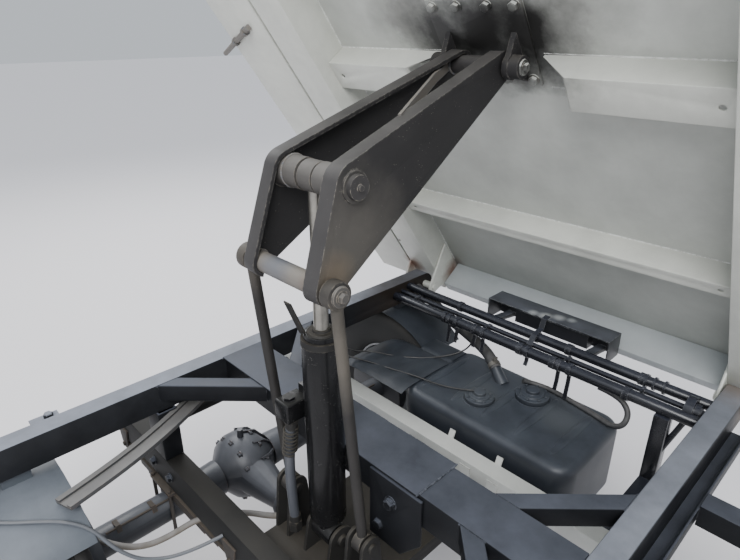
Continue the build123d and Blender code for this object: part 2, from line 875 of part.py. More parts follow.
bore_start = barrel_start + 15
port_start = barrel_start + 270
port_length = 38
with BuildPart() as barrel:
    with BuildSketch(along_x(hoist_x - 28)):
        with Locations(cylinder_base):
            bar(26, 24)
    extrude(amount=56)
    with BuildSketch(across_cylinder(0)):
        bar(22, 24)
    extrude(amount=barrel_start)
    with BuildSketch(across_cylinder(barrel_start)):
        bar(barrel_r, 32)
    extrude(amount=barrel_length)
    with BuildSketch(across_cylinder(barrel_start + barrel_length)):
        bar(barrel_r - 5, 32)
    extrude(amount=gland_length)
    with BuildSketch(across_cylinder(bore_start)):
        RegularPolygon(barrel_r - barrel_wall, 32, major_radius=False)
    extrude(amount=barrel_start + barrel_length - 25 - bore_start, mode=Mode.SUBTRACT)
    with BuildSketch(across_cylinder(bore_start)):
        RegularPolygon(rod_r + fit_gap, 20, major_radius=False)
    extrude(amount=barrel_start + barrel_length + gland_length - bore_start, mode=Mode.SUBTRACT)
    with BuildSketch(along_x(hoist_x - 28)):
        with Locations(cylinder_base):
            RegularPolygon(12 + run_gap, 16, major_radius=False)
    extrude(amount=56, mode=Mode.SUBTRACT)
    with BuildSketch(across_cylinder(port_start)):
        with Locations((-barrel_r - 8, 0)):
            Rectangle(28, 30)
    extrude(amount=port_length)
save(barrel, "cylinder_barrel")

rod_start = bore_start + stroke + move_gap
with BuildPart() as rod:
    with BuildSketch(across_cylinder(rod_start)):
        bar(rod_r, 20)
    extrude(amount=reach_out - rod_start)
    with BuildSketch(across_cylinder(rod_start)):
        bar(barrel_r - barrel_wall - fit_gap, 32)
    extrude(amount=30)
    with BuildSketch(along_x(hoist_x - 17)):
        with Locations(arm_b):
            bar(27, 24)
    extrude(amount=34)
save(rod, "piston_rod")

# Bed, drawn lowered and turned about the hinge when it is saved
bed_mid_x = (bed_front + bed_rear) / 2
with BuildPart() as floor:
    with BuildSketch(Plane.XY.offset(floor_under)):
        with Locations((bed_mid_x, 0)):
            Rectangle(bed_length, bed_width)
    extrude(amount=floor_thick)
save(floor, "bed_floor", tip_angle)

# Sills over the two beams and under the tail: columns middle x, width, underside
sill_depth = floor_under - sill_under
rear_sill_x = rear_beam_x + 5
tail_front = rear_sill_x - rear_sill / 2 - tail_sill_gap
sill_places = (
    (front_beam_x, front_sill, sill_under),
    (rear_sill_x, rear_sill, sill_under),
    ((tail_front + bed_rear) / 2, tail_front - bed_rear, sill_under + 6),
)
with BuildPart() as sills:
    for x, width, under in sill_places:
        with BuildSketch(along_y(-bed_edge)):
            with Locations((x, (under + floor_under) / 2)):
                Rectangle(width, floor_under - under)
                Rectangle(width - 2 * sill_wall, floor_under - under - 2 * sill_wall, mode=Mode.SUBTRACT)
        extrude(amount=-bed_width)
save(sills, "bed_sills", tip_angle)

# Hinge ears on the sills, with the pins that pass through the beam ends
with BuildPart() as ears:
    for middle, width in ((front_beam_x, front_sill), (rear_sill_x, rear_sill)):
        for start in (middle - width / 2 - ear_thick, middle + width / 2):
            with BuildSketch(along_x(start)):
                with Locations((hinge_y, hinge_z)):
                    bar(24, 20)
                with BuildLine():
                    Polyline(
                        (hinge_y - 24, hinge_z),
                        (hinge_y + 24, hinge_z),
                        (bed_edge - 3, floor_under - 10),
                        (hinge_y - 90, floor_under - 10),
                        close=True,
                    )
                make_face()
            extrude(amount=ear_thick)
        with BuildSketch(along_x(middle - width / 2 - ear_thick - 6)):
            with Locations((hinge_y, hinge_z)):
                bar(hinge_pin_r, 20)
        extrude(amount=width + 2 * ear_thick + 12)
save(ears, "bed_hinge_ears", tip_angle)

# Ribs along the floor, open where the hoist passes: columns y, flange width
hoist_open = (hoist_x - 112, hoist_x + 127)
rib_slant = 72
rib_hole_r = 6
ribs = ((366, 40), (-128, 77))
sill_rear_face = rear_sill_x + rear_sill / 2
front_face = front_beam_x - front_sill / 2
fore_span = (front_beam_x + front_sill / 2, bed_front - 5)
rib_under = floor_under - rib_depth
with BuildPart() as rib_part:
    for y, flange in ribs:
        full = ((sill_rear_face, front_face), fore_span)
        parted = ((sill_rear_face, hoist_open[0]), (hoist_open[1], front_face), fore_span)
        for low, high in parted if y < 0 else full:
            with BuildSketch(along_x(low)):
                with BuildLine():
                    Polyline(
                        (y + flange / 2, rib_under),
                        (y - flange / 2, rib_under),
                        (y - flange / 2, floor_under),
                        (y - flange / 2 + rib_thick, floor_under),
                        (y - flange / 2 + rib_thick, rib_under + rib_thick),
                        (y + flange / 2, rib_under + rib_thick),
                        close=True,
                    )
                make_face()
            extrude(amount=high - low)
        for x in (sill_rear_face + 30, front_face - 30):
            with BuildSketch(Plane.XY.offset(rib_under)):
                with Locations((x, y)):
                    bar(rib_hole_r)
            extrude(amount=rib_thick, mode=Mode.SUBTRACT)
    for end, way in ((hoist_open[0], -1), (hoist_open[1], 1)):
        with BuildSketch(along_y(ribs[1][0] - ribs[1][1])):
            Polygon(
                (end - way, rib_under - 1),
                (end + way * rib_slant, rib_under - 1),
                (end - way, floor_under - 6),
                align=None,
            )
        extrude(amount=-2 * ribs[1][1], mode=Mode.SUBTRACT)
save(rib_part, "bed_ribs", tip_angle)

# Edge rails that hang along both sides of the floor
with BuildPart() as edges:
    for side in (-1, 1):
        for low, high in ((sill_rear_face, front_face), fore_span):
            with BuildSketch(along_x(low + ear_thick)):
                with Locations((side * (bed_edge - edge_width / 2), floor_under - sill_depth / 2)):
                    Rectangle(edge_width, sill_depth)
                    Rectangle(edge_width - 8, sill_depth - 8, mode=Mode.SUBTRACT)
            extrude(amount=high - low - (2 if high == front_face else 1) * ear_thick)
save(edges, "bed_edge_rails", tip_angle)

# Hoist bracket under the floor: a plate with two ears, their bosses and the pin
ear_in = a_out + 8
ear_out = ear_in + 12
boss_out = ear_out + 22
plate_lap = 110
plate_y = (arm_pivot_low[0] - 120, arm_pivot_low[0] + 70)
with BuildPart() as bed_bracket:
    with BuildSketch(Plane.XY.offset(floor_under - 6)):
        with Locations((hoist_x, (plate_y[0] + plate_y[1]) / 2)):
            Rectangle(2 * plate_lap, plate_y[1] - plate_y[0])
    extrude(amount=6)
    for side in (-1, 1):
        with BuildSketch(along_x(hoist_x + side * ear_in)):
            with Locations(arm_pivot_low):
                bar(24, 20)
            with BuildLine():
                Polyline(
                    (arm_pivot_low[0] - 24, arm_pivot_low[1]),
                    (arm_pivot_low[0] + 24, arm_pivot_low[1]),
                    (plate_y[1] - 6, floor_under - 5),
                    (arm_pivot_low[0] - 50, floor_under - 5),
                    close=True,
                )
            make_face()
        extrude(amount=side * (ear_out - ear_in))
        with BuildSketch(along_x(hoist_x + side * ear_out)):
            with Locations(arm_pivot_low):
                bar(22, 20)
        extrude(amount=side * (boss_out - ear_out))
    with BuildSketch(along_x(hoist_x - boss_out + 2)):
        with Locations(arm_pivot_low):
            bar(pin_r, 16)
    extrude(amount=2 * boss_out - 4)
save(bed_bracket, "bed_hoist_bracket", tip_angle)

# Headboard between its two corner posts
with BuildPart() as headboard:
    with BuildSketch(along_x(bed_front - gate_thick)):
        with Locations((0, floor_top + post_height / 2)):
            Rectangle(bed_width - 2 * post_width, post_height)
    extrude(amount=gate_thick)
save(headboard, "headboard", tip_angle)

with BuildPart() as posts:
    for side in (-1, 1):
        with BuildSketch(Plane.XY.offset(floor_top)):
            with Locations((bed_front - post_width / 2, side * (bed_edge - post_width / 2))):
                Rectangle(post_width, post_width)
        extrude(amount=post_height)
save(posts, "headboard_posts", tip_angle)

# Gates, ribbed panels hinged along the floor's edges
gate_low = floor_top + gate_gap
gate_mid = gate_low + gate_height / 2
hinge_line = (hinge_out, floor_top + gate_gap / 2)
side_front = bed_front - post_width - gate_gap
side_length = side_front - bed_rear
side_mid = (side_front + bed_rear) / 2
tail_width = bed_width - 2 * (gate_thick + gate_gap)
side_hinges = [side_mid + step * side_length * 0.38 for step in (-1, 0, 1)]
tail_hinges = [step * tail_width * 0.38 for step in (-1, 0, 1)]


def leaf(edge, way, far):
    """Corners of a hinge leaf on an edge that reaches its knuckle; way is the outward sign."""
    out, z = hinge_line
    up = 1 if far > z else -1
    corners = ((0, z + 6 * up), (0, far), (3, far), (out, z + knuckle_r * up), (out, z), (4, z + 4 * up))
    return [(edge + way * reach, height) for reach, height in corners]


leaf_top = gate_low + 55
leaf_low = floor_under - 50
gate_starts = (-knuckle_mid / 2 - 1 - knuckle_end, knuckle_mid / 2 + 1)
pin_half = knuckle_mid / 2 + knuckle_end + 4

for side, node in ((1, "left_gate"), (-1, "right_gate")):
    with BuildPart() as gate:
        with BuildSketch(along_y(side * bed_edge)):
            with Locations((side_mid, gate_mid)):
                Rectangle(side_length, gate_height)
        extrude(amount=side * gate_thick)
        with BuildSketch(along_y(side * bed_edge)):
            with Locations((side_mid, gate_mid + 15)):
                with GridLocations(side_length / 4, 0, 4, 1):
                    Rectangle(side_length / 4 - 50, gate_height - 90)
        extrude(amount=side * (gate_thick - gate_sheet), mode=Mode.SUBTRACT)
        for x in side_hinges:
            for start in gate_starts:
                with BuildSketch(along_x(x + start)):
                    Polygon(*leaf(side * bed_edge, side, leaf_top), align=None)
                    with Locations((side * (bed_edge + hinge_line[0]), hinge_line[1])):
                        bar(knuckle_r)
                        bore(gate_pin_r, 8)
                extrude(amount=knuckle_end)
    save(gate, node, tip_angle)

with BuildPart() as gate:
    with BuildSketch(along_x(bed_rear)):
        with Locations((0, gate_mid)):
            Rectangle(tail_width, gate_height)
    extrude(amount=gate_thick)
    with BuildSketch(along_x(bed_rear)):
        with Locations((0, gate_mid + 15)):
            with GridLocations(tail_width / 4, 0, 4, 1):
                Rectangle(tail_width / 4 - 50, gate_height - 90)
    extrude(amount=gate_thick - gate_sheet, mode=Mode.SUBTRACT)
    for y in tail_hinges:
        for start in gate_starts:
            with BuildSketch(along_y(y + start)):
                Polygon(*leaf(bed_rear, -1, leaf_top), align=None)
                with Locations((bed_rear - hinge_line[0], hinge_line[1])):
                    bar(knuckle_r)
                    bore(gate_pin_r, 8)
            extrude(amount=-knuckle_end)
save(gate, "tailgate", tip_angle)

# Hinge leaves and pins on the bed, for all three gates
with BuildPart() as gate_hinges:
    for side in (-1, 1):
        for x in side_hinges:
            with BuildSketch(along_x(x - knuckle_mid / 2)):
                Polygon(*leaf(side * bed_edge, side, leaf_low), align=None)
                with Locations((side * (bed_edge + hinge_line[0]), hinge_line[1])):
                    bar(knuckle_r)
            extrude(amount=knuckle_mid)
            with BuildSketch(along_x(x - pin_half)):
                with Locations((side * (bed_edge + hinge_line[0]), hinge_line[1])):
                    bar(gate_pin_r, 8)
            extrude(amount=2 * pin_half)
    for y in tail_hinges:
        with BuildSketch(along_y(y - knuckle_mid / 2)):
            Polygon(*leaf(bed_rear, -1, leaf_low), align=None)
            with Locations((bed_rear - hinge_line[0], hinge_line[1])):
                bar(knuckle_r)
        extrude(amount=-knuckle_mid)
        with BuildSketch(along_y(y - pin_half)):
            with Locations((bed_rear - hinge_line[0], hinge_line[1])):
                bar(gate_pin_r, 8)
        extrude(amount=-2 * pin_half)
save(gate_hinges, "gate_hinges", tip_angle)
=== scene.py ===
import json
import math
import random

import bmesh
import bpy
from mathutils import Matrix, Vector


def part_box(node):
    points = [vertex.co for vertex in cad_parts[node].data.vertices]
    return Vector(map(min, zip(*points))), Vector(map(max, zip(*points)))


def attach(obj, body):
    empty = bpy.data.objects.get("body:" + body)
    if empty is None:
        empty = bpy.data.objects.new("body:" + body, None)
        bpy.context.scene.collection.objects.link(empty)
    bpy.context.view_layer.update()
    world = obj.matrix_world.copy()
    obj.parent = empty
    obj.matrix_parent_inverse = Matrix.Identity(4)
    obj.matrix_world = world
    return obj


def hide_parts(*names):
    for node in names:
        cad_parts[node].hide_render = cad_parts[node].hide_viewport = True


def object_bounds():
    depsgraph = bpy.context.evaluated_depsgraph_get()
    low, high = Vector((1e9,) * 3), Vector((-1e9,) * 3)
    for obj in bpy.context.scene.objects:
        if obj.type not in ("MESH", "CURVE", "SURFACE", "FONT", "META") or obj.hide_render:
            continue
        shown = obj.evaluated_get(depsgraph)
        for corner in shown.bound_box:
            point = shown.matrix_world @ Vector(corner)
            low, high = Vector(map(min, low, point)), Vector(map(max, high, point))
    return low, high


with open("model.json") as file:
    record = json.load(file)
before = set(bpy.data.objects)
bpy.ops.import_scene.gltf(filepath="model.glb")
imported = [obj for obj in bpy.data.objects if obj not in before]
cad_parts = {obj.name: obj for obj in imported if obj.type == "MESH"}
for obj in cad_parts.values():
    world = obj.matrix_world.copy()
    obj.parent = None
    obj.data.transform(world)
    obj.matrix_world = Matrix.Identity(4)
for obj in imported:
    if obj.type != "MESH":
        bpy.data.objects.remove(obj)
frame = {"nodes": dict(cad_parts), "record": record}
cad_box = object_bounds()
random.seed(7)

# The photographer's place: at the truck's right side by its front end, eyes a metre and a half above
# the ground, looking back and to the left across the hoist with a short lens.
EYE = Vector((-0.25, -0.735, 1.045))
LOOK = Vector((-0.6559, 0.6379, -0.4035))
camera_data = bpy.data.cameras.new("camera")
camera_data.lens = 27.97
camera_data.sensor_width = 36
camera_data.clip_start = 0.01
camera = bpy.data.objects.new("camera", camera_data)
camera.location = EYE
camera.rotation_euler = LOOK.to_track_quat("-Z", "Y").to_euler()
bpy.context.scene.collection.objects.link(camera)
bpy.context.scene.camera = camera

# Hoses and wires: the cylinder's oil hose, the tank's filler and breather hoses and sender wires, the brake
# hose and the hand-brake cable. Extruded rubber and PVC, pushed or screwed on at both ends.
HOSE_DUST = "7E7B78"
# Caked dust in patches of 25 mm. The rubber's grain, a few tenths of a millimetre, is too fine to show, so
# it is drawn coarser
HOSE_DUST_MM = 25
HOSE_GRAIN_MM = 1.43


def linear(code):
    """A hex colour as linear red, green, blue and alpha."""
    parts = [int(code[i : i + 2], 16) / 255 for i in (0, 2, 4)]
    return [c / 12.92 if c <= 0.04045 else ((c + 0.055) / 1.055) ** 2.4 for c in parts] + [1]


def add(tree, kind, settings=None, links=None):
    """Adds a shader node, sets its own settings, and sets or links its inputs by name or number."""
    made = tree.nodes.new("ShaderNode" + kind)
    for key, value in (settings or {}).items():
        setattr(made, key, value)
    for key, value in (links or {}).items():
        if isinstance(value, bpy.types.NodeSocket):
            tree.links.new(value, made.inputs[key])
        else:
            made.inputs[key].default_value = value
    return made


def material(name):
    """A new material, its node tree and its surface shader."""
    made = bpy.data.materials.new(name)
    made.use_nodes = True
    return made, made.node_tree, made.node_tree.nodes["Principled BSDF"]


def rubber(name, skin, top_share=0.45, rough=0.6):
    """Extruded rubber: satin, greyed along its upper side by dust that its grain holds."""
    made, tree, surface = material(name)
    place = add(tree, "TexCoord")
    spot = place.outputs["Object"]
    cake = {"Vector": spot, "Scale": 1000 / HOSE_DUST_MM, "Detail": 5}
    blotch = add(tree, "TexNoise", links=cake).outputs["Fac"]
    pores = {"Vector": spot, "Scale": 1000 / HOSE_GRAIN_MM, "Detail": 2}
    grain = add(tree, "TexNoise", links=pores).outputs["Fac"]
    up = add(tree, "SeparateXYZ", links={"Vector": place.outputs["Normal"]}).outputs["Z"]
    lie = add(tree, "MapRange", links={"Value": up, "From Min": -0.3, "To Max": top_share * 2}).outputs["Result"]
    film = add(tree, "Math", {"operation": "MULTIPLY"}, {0: lie, 1: blotch}).outputs["Value"]
    shades = {"Fac": film, "Color1": linear(skin), "Color2": linear(HOSE_DUST)}
    shade = add(tree, "MixRGB", links=shades).outputs["Color"]
    relief = add(tree, "Bump", links={"Height": grain, "Strength": 0.2, "Distance": 0.0005})
    tree.links.new(shade, surface.inputs["Base Color"])
    tree.links.new(relief.outputs["Normal"], surface.inputs["Normal"])
    surface.inputs["Roughness"].default_value = rough
    return made


# Blue-grey rubber with a soft sheen; near-black rubber; brown-grey rubber caked with dirt, with no
# sheen; thin black PVC; grey PVC
oil_rubber = rubber("oil_hose_rubber", "3C3F46", 0.35, 0.5)
fuel_rubber = rubber("fuel_hose_rubber", "1E2024", 0.35)
brake_rubber = rubber("dusty_brake_hose_rubber", "5E574C", 0.9, 0.8)
wire_vinyl = rubber("wire_vinyl", "15161A", 0.25, 0.4)
cable_vinyl = rubber("cable_vinyl", "4E535A", 0.3, 0.45)

# columns: finish, radius, stiffness, route from its exit to its far end
HOSES = {
    "filler_hose": (fuel_rubber, 0.017, "stiff", (
        (-1.038, 0.557, 0.108), (-1.072, 0.576, 0.127), (-1.135, 0.607, 0.131), (-1.216, 0.637, 0.133),
        (-1.300, 0.655, 0.145), (-1.380, 0.664, 0.178), (-1.454, 0.666, 0.206))),
    "breather_hose": (fuel_rubber, 0.0075, "medium", (
        (-0.950, 0.566, 0.104), (-0.930, 0.590, 0.094), (-0.880, 0.600, 0.0925), (-0.800, 0.588, 0.0925),
        (-0.730, 0.575, 0.0925), (-0.680, 0.556, 0.097), (-0.650, 0.553, 0.118), (-0.652, 0.575, 0.150),
        (-0.688, 0.580, 0.178), (-0.735, 0.563, 0.190))),
    "sender_wire_rear": (wire_vinyl, 0.0026, "medium", (
        (-1.444, 0.292, 0.125), (-1.430, 0.335, 0.092), (-1.402, 0.390, 0.0845), (-1.324, 0.420, 0.0845),
        (-1.250, 0.480, 0.0845), (-1.205, 0.540, 0.0875), (-1.170, 0.585, 0.105), (-1.145, 0.585, 0.150),
        (-1.124, 0.562, 0.189))),
    "sender_wire_front": (wire_vinyl, 0.0026, "medium", (
        (-1.444, 0.276, 0.110), (-1.425, 0.312, 0.088), (-1.349, 0.342, 0.0845), (-1.286, 0.358, 0.0845),
        (-1.203, 0.378, 0.0885), (-1.120, 0.392, 0.0885), (-1.060, 0.412, 0.0935), (-1.021, 0.425, 0.102))),
    "brake_hose": (brake_rubber, 0.0075, "medium", (
        (-1.119, -0.118, -0.045), (-1.145, -0.140, -0.050), (-1.184, -0.171, -0.060), (-1.241, -0.193, -0.075),
        (-1.290, -0.235, -0.082), (-1.316, -0.300, -0.076), (-1.322, -0.363, -0.085), (-1.345, -0.420, -0.098),
        (-1.395, -0.470, -0.100), (-1.450, -0.500, -0.092))),
    "hand_brake_cable": (cable_vinyl, 0.0042, "medium", (
        (-1.400, -0.690, 0.1385), (-1.375, -0.655, 0.1280), (-1.352, -0.612, 0.1185), (-1.325, -0.565, 0.1040),
        (-1.298, -0.530, 0.078), (-1.262, -0.503, 0.025), (-1.235, -0.460, -0.020), (-1.200, -0.380, -0.034),
        (-1.180, -0.301, -0.022))),
}


def hose(name, body, finish, radius, route):
    """A round hose along its control points."""
    line = bpy.data.curves.new(name, "CURVE")
    line.dimensions = "3D"
    line.resolution_u = 10
    spline = line.splines.new("NURBS")
    spline.points.add(len(route) - 1)
    for point, place in zip(spline.points, route):
        point.co = (*place, 1)
    spline.order_u = 3
    spline.use_endpoint_u = True
    piece = bpy.data.objects.new(name, line)
    bpy.context.scene.collection.objects.link(piece)
    track = bpy.data.meshes.new_from_object(piece)
    bpy.data.meshes.remove(track)
    line.bevel_depth = radius
    line.bevel_resolution = 5
    line.use_fill_caps = True
    line.materials.append(finish)
    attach(piece, body)
    return piece


for name, (finish, radius, stiffness, route) in HOSES.items():
    hose(name, "chassis", finish, radius, route)

# The yard: a plain pale floor under the tyres, an overcast sky and two large soft lamps.
# The sky is bright, so the tops of the black steel turn pale grey as they do outdoors.
GROUND = cad_box[0].z
YARD_SIZE = 30
SKY = "DDE3EA"
CONCRETE = "D0CDCE"
HORIZON_STRENGTH = 0.85
ZENITH_STRENGTH = 2.0
world = bpy.data.worlds.new("sky")
world.use_nodes = True
sky = world.node_tree.nodes["Background"]
sky.inputs["Color"].default_value = linear(SKY)
toward = add(world.node_tree, "TexCoord").outputs["Generated"]
height = add(world.node_tree, "SeparateXYZ", links={"Vector": toward}).outputs["Z"]
rise = {"Value": height, "From Min": 0.1, "To Min": HORIZON_STRENGTH, "To Max": ZENITH_STRENGTH}
glow = add(world.node_tree, "MapRange", links=rise)
world.node_tree.links.new(glow.outputs["Result"], sky.inputs["Strength"])
bpy.context.scene.world = world

floor_mesh = bpy.data.meshes.new("yard")
shape = bmesh.new()
bmesh.ops.create_grid(shape, x_segments=1, y_segments=1, size=YARD_SIZE)
bmesh.ops.translate(shape, verts=shape.verts, vec=(0, 0, GROUND))
shape.to_mesh(floor_mesh)
shape.free()
yard = bpy.data.objects.new("yard", floor_mesh)
bpy.context.scene.collection.objects.link(yard)
concrete, tree, surface = material("pale_floor")
surface.inputs["Base Color"].default_value = linear(CONCRETE)
surface.inputs["Roughness"].default_value = 0.85
floor_mesh.materials.append(concrete)

# columns: place, target, size, watts
LAMPS = (
    ((1.5, -3.5, 4.0), (-0.9, 0.0, 0.4), 3.0, 330),
    ((-4.5, 1.0, 3.6), (-0.9, 0.2, 0.3), 3.0, 200),
)
for place, target, size, watts in LAMPS:
    data = bpy.data.lights.new("soft_lamp", "AREA")
    data.energy = watts
    data.size = size
    lamp = bpy.data.objects.new("soft_lamp", data)
    lamp.location = place
    lamp.rotation_euler = (Vector(target) - Vector(place)).to_track_quat("-Z", "Y").to_euler()
    bpy.context.scene.collection.objects.link(lamp)

# Subframe: folded and welded steel box tubes, brushed over with black enamel. Their tops are painted pale
# grey,
# # partly dust and partly a painted reflection of the bright sky, and their edges are chipped to grey primer.
# Each
# # tube's corners have the small radius of folded steel.
SHARP = math.radians(30)
# Grime gathers in clouds, paint breaks off in flecks, and mud dries in dots that lie in flocks. The flecks
# are drawn coarser than the real ones, which are too fine to show
GRIME_MM = 111
GRAIN_MM = 8.33
SPLASH_MM = 4.76
SPLASH_FLOCK_MM = 22.2


def enamel(
    name, paint, dust_and_sheen, chip, rough=(0.35, 0.6), wear=0.0025, top_share=0.45, even=0.35, specks=0.0,
    metal=0.0, stains=(), shine=0.5, under=False,
):
    """Painted steel: mottled paint, chips along its edges, dust on its upper faces and round stains. On the
    black frame enamels the pale tone on the upper faces is also a painted reflection of the sky.

    wear is how far the chips reach from an edge, even the least share of the dust, and specks how strong
    the splashes of dried mud are. A stain is a place, its reach, its colour and its strength, and under
    keeps the stains to faces that look down."""
    made, tree, surface = material(name)
    place = add(tree, "TexCoord")
    spot = place.outputs["Object"]
    clouds = {"Vector": spot, "Scale": 1000 / GRIME_MM, "Detail": 6, "Roughness": 0.65}
    grime = add(tree, "TexNoise", links=clouds).outputs["Fac"]
    flecks = {"Vector": spot, "Scale": 1000 / GRAIN_MM, "Detail": 4}
    grain = add(tree, "TexNoise", links=flecks).outputs["Fac"]
    light = [min(1, c * 1.3 + 0.008) for c in linear(paint)[:3]] + [1]
    dark = [c * 0.75 for c in linear(paint)[:3]] + [1]
    coat = add(tree, "MixRGB", links={"Fac": grime, "Color1": dark, "Color2": light}).outputs["Color"]

    # Chips: where the rounded normal leaves the flat one, broken up by the grain
    rounded = add(tree, "Bevel", {"samples": 6}, {"Radius": wear}).outputs["Normal"]
    flat = add(tree, "NewGeometry").outputs["Normal"]
    along = add(tree, "VectorMath", {"operation": "DOT_PRODUCT"}, {0: rounded, 1: flat}).outputs["Value"]
    edge = add(tree, "MapRange", links={"Value": along, "From Min": 0.995, "From Max": 0.8}).outputs["Result"]
    rub = add(tree, "MapRange", links={"Value": grain, "From Min": 0.42, "From Max": 0.62}).outputs["Result"]
    chips = add(tree, "Math", {"operation": "MULTIPLY"}, {0: edge, 1: rub}).outputs["Value"]
    skin = add(tree, "MixRGB", links={"Fac": chips, "Color1": coat, "Color2": linear(chip)}).outputs["Color"]

    # Dust: on faces that look up while the piece is at rest, and thin everywhere else. On the black frame
    # # enamels the pale top tone is partly dust and partly a painted reflection of the sky
    up = add(tree, "SeparateXYZ", links={"Vector": place.outputs["Normal"]}).outputs["Z"]
    level = {"Value": up, "From Min": 0.2, "From Max": 0.95, "To Max": top_share}
    top = add(tree, "MapRange", links=level).outputs["Result"]
    spread = {"Value": grime, "From Min": 0.3, "From Max": 0.75, "To Min": even}
    drift = add(tree, "MapRange", links=spread).outputs["Result"]
    film = add(tree, "Math", {"operation": "MULTIPLY"}, {0: top, 1: drift}).outputs["Value"]
    thin = {0: grime, 1: top_share * 0.08, 2: film}
    cover = add(tree, "Math", {"operation": "MULTIPLY_ADD"}, thin).outputs["Value"]
    if specks:
        cells = {"Vector": spot, "Scale": 1000 / SPLASH_MM}
        dots = add(tree, "TexVoronoi", links=cells).outputs["Distance"]
        sizes = {"Value": dots, "From Min": 0.18, "From Max": 0.09, "To Max": specks}
        small = add(tree, "MapRange", links=sizes).outputs["Result"]
        flocks = {"Vector": spot, "Scale": 1000 / SPLASH_FLOCK_MM}
        few = add(tree, "TexNoise", links=flocks).outputs["Fac"]
        flock = {"Value": few, "From Min": 0.54, "From Max": 0.62}
        gate = add(tree, "MapRange", links=flock).outputs["Result"]
        mud = add(tree, "Math", {"operation": "MULTIPLY"}, {0: small, 1: gate}).outputs["Value"]
        cover = add(tree, "Math", {"operation": "MAXIMUM"}, {0: cover, 1: mud}).outputs["Value"]
    skin = add(tree, "MixRGB", links={"Fac": cover, "Color1": skin, "Color2": linear(dust_and_sheen)}).outputs["Color"]

    # Stains: soot or rust that fades out round a place, broken up by the grime
    facing = {"Value": up, "From Min": 0.3, "From Max": 0.1, "To Min": 0 if under else 1}
    below = add(tree, "MapRange", links=facing).outputs["Result"]
    for centre, reach, colour, strength in stains:
        far = add(tree, "VectorMath", {"operation": "DISTANCE"}, {0: spot, 1: centre}).outputs["Value"]
        ragged = add(tree, "Math", {"operation": "MULTIPLY_ADD"}, {0: grime, 1: reach, 2: far})
        bounds = {"Value": ragged.outputs["Value"], "From Min": reach * 1.5, "From Max": reach * 0.75}
        share = add(tree, "MapRange", links={**bounds, "To Max": strength}).outputs["Result"]
        shown = add(tree, "Math", {"operation": "MULTIPLY"}, {0: share, 1: below}).outputs["Value"]
        tint = {"Fac": shown, "Color1": skin, "Color2": linear(colour)}
        skin = add(tree, "MixRGB", links=tint).outputs["Color"]

    sheen = {"Value": grime, "To Min": rough[0], "To Max": rough[1]}
    gloss = add(tree, "MapRange", links=sheen).outputs["Result"]
    dull = add(tree, "Math", {"operation": "MAXIMUM"}, {0: gloss, 1: cover}).outputs["Value"]
    relief = add(tree, "Bump", links={"Height": grain, "Strength": 0.12, "Distance": 0.001})
    tree.links.new(skin, surface.inputs["Base Color"])
    tree.links.new(dull, surface.inputs["Roughness"])
    tree.links.new(relief.outputs["Normal"], surface.inputs["Normal"])
    surface.inputs["Metallic"].default_value = metal
    surface.inputs["Specular IOR Level"].default_value = shine
    return made


def show(name, shape, finish, body):
    """Makes an object from a bmesh, with smooth faces and sharp creases, that rides on a body."""
    for edge in shape.edges:
        edge.smooth = len(edge.link_faces) == 2 and edge.calc_face_angle(0) < SHARP
    for face in shape.faces:
        face.smooth = True
    mesh = bpy.data.meshes.new(name)
    shape.to_mesh(mesh)
    shape.free()
    mesh.materials.append(finish)
    piece = bpy.data.objects.new(name, mesh)
    bpy.context.scene.collection.objects.link(piece)
    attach(piece, body)
    return piece


def fit(name, shape, finish, body):
    """Shows a shape that is made here, its faces turned outwards, with its finish."""
    bmesh.ops.recalc_face_normals(shape, faces=shape.faces)
    piece = show(name, shape, finish, body)
    return piece


def body_of(node):
    """The name of the body that a node belongs to."""
    return next(body for body, nodes in frame["record"]["behaviour"]["bodies"].items() if node in nodes)


def soften(shape, edges, radius, segments):
    """Rounds edges off to a radius."""
    bmesh.ops.bevel(
        shape, geom=edges, offset=radius, offset_type="OFFSET", segments=segments, profile=0.5,
        affect="EDGES", clamp_overlap=True, material=-1,
    )


def dress(node, finish, corner=0.0012, segments=2, patches=()):
    """A node's own shape with its corners rounded and its finish on, in place of the node.

    Each patch is a second finish and a test that says on which faces it goes."""
    shape = bmesh.new()
    shape.from_mesh(frame["nodes"][node].data)
    bmesh.ops.remove_doubles(shape, verts=shape.verts, dist=0.00002)
    bmesh.ops.dissolve_limit(shape, angle_limit=math.radians(0.4), verts=shape.verts, edges=shape.edges)
    if corner:
        folds = [edge for edge in shape.edges if len(edge.link_faces) == 2]
        soften(shape, [edge for edge in folds if edge.calc_face_angle(0) > SHARP], corner, segments)
    for index, (_, test) in enumerate(patches):
        for face in shape.faces:
            if test(face):
                face.material_index = index + 1
    piece = show(node + "_dressed", shape, finish, body_of(node))
    for patch, _ in patches:
        piece.data.materials.append(patch)
    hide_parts(node)
    return piece


# Black enamel: near-black sides with little shine, grey-blue tops that are partly dust and partly a painted
# # reflection of the bright sky, and brown stains by the bed's hinges on the beams
black_enamel_dust_and_painted_sheen = enamel(
    "black_enamel_dust_and_painted_sheen", "0B0C0F", "5C606A", "7C7F86", wear=0.002, top_share=0.66, even=0.5, shine=0.12,
)
beam_enamel_dust_and_painted_sheen = enamel(
    "road_stained_black_enamel_dust_and_painted_sheen", "0B0C0F", "8A8E97", "7C7F86", wear=0.002, top_share=0.8, even=0.6, shine=0.12,
    stains=(((-1.44, 0.58, 0.17), 0.26, "3A312A", 0.6), ((-0.455, 0.735, 0.245), 0.13, "7A6A58", 0.6)),
)
for node in ("front_beam", "rear_beam"):
    dress(node, beam_enamel_dust_and_painted_sheen, 0.003, 3)
for node in (
    "subframe_spine", "corner_braces", "beam_standoffs", "lamp_bar", "front_channel", "spine_gusset",
):
    dress(node, black_enamel_dust_and_painted_sheen, 0.003, 3)

